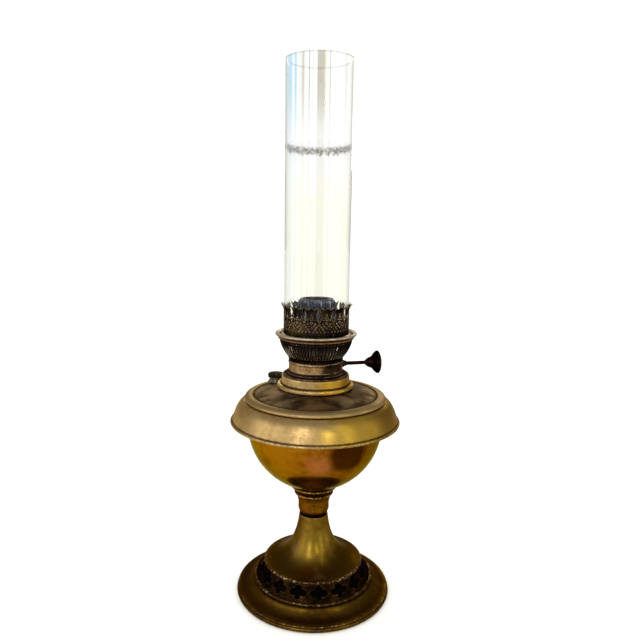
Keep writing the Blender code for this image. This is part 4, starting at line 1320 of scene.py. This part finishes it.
def two_looks(tree, seen, reflected, output):
    """One shader for what the camera sees and another for what the metal reflects.

    The second counts for rays that metal has reflected, and less if they also went through glass."""
    path = tree.nodes.new("ShaderNodeLightPath")
    only = tree.times(path.outputs["Is Glossy Ray"], path.outputs["Glossy Depth"], True)
    glass = path.outputs["Transmission Depth"]
    through = tree.add("MapRange", {"Value": glass, "To Min": 1.0, "To Max": 0.4})
    mixed = tree.add("MixShader", {0: tree.times(only, through), 1: seen, 2: reflected})
    tree.put(tree.nodes[output], {0: mixed})


def add_world():
    """White for what the camera sees, and a dimmer warm room for what the metal reflects."""
    world = bpy.data.worlds.new("room")
    bpy.context.scene.world = world
    tree = Tree(world)
    up = tree.axis(tree.add("TexCoord", {}, "Generated"), "Z")
    up = tree.add("MapRange", {"Value": up, "From Min": -1.0})
    room = tree.add("Background", {"Color": tree.ramp(up, *zip((0.0, 0.55, 1.0), ROOM)), "Strength": 0.85})
    white = tree.add("Background", {"Color": (1, 1, 1), "Strength": 1.1})
    two_looks(tree, white, room, "World Output")


def add_floor():
    """A wide pale table top. What the metal reflects of it is tan, darker at its right and pale far off."""
    mesh = bpy.data.meshes.new("floor")
    corners = [(x * TABLE_HALF, y * TABLE_HALF, 0) for x, y in ((-1, -1), (1, -1), (1, 1), (-1, 1))]
    mesh.from_pydata(corners, [], [(0, 1, 2, 3)])
    floor = bpy.data.objects.new("floor", mesh)
    floor.location.z = -0.0002
    bpy.context.scene.collection.objects.link(floor)
    tree = new_material("pale_floor")
    spot = tree.where()
    side = tree.span(tree.axis(spot, "X"), -0.15, 0.35)
    near = tree.ramp(side, (0.0, TABLE_LEFT), (1.0, TABLE_RIGHT))
    distance = tree.add("VectorMath", {0: spot}, "Value", operation="LENGTH")
    away = tree.add("MapRange", {"Value": distance, "From Min": 0.5, "From Max": 1.3})
    dim = tree.add("BsdfDiffuse", {"Color": tree.mix(away, near, TABLE_FAR)})
    mesh.materials.append(tree.surface(Base_Color=(0.98, 0.98, 0.98), Roughness=0.9))
    two_looks(tree, tree.nodes["Principled BSDF"].outputs[0], dim, "Material Output")


def add_camera():
    data = bpy.data.cameras.new("camera")
    data.sensor_width = SENSOR
    data.lens = LENS
    data.shift_x, data.shift_y = SHIFT_X, SHIFT_Y
    data.clip_start = 0.02
    camera = bpy.data.objects.new("camera", data)
    bpy.context.scene.collection.objects.link(camera)
    pitch, yaw, roll = [math.radians(v) for v in (CAMERA_PITCH, CAMERA_YAW, CAMERA_ROLL)]
    forward = Vector((math.sin(yaw) * math.cos(pitch), math.cos(yaw) * math.cos(pitch), -math.sin(pitch)))
    level = Vector((math.cos(yaw), -math.sin(yaw), 0.0))
    rise = level.cross(forward)
    right = level * math.cos(roll) + rise * math.sin(roll)
    up = rise * math.cos(roll) - level * math.sin(roll)
    turn = Matrix((right, up, -forward)).transposed().to_4x4()
    camera.matrix_world = Matrix.Translation((0, -CAMERA_BACK * MM, CAMERA_UP * MM)) @ turn
    bpy.context.scene.camera = camera


def main():
    make_materials()
    for make in (make_foot, make_pierced_band, make_stem, make_neck_collar, make_bowl, make_skirt,
                 make_reservoir_top, make_filler, make_burner_collar, make_burner_base, make_burner_neck,
                 make_air_basket, make_gallery_flange, make_crown, make_diffuser, make_chimney, make_tubes,
                 make_wick, make_knob, dress_inner_parts):
        make()
    for light in LIGHTS:
        add_light(*light)
    add_world()
    add_floor()
    add_camera()
    bpy.context.scene.view_settings.view_transform = "Standard"


main()
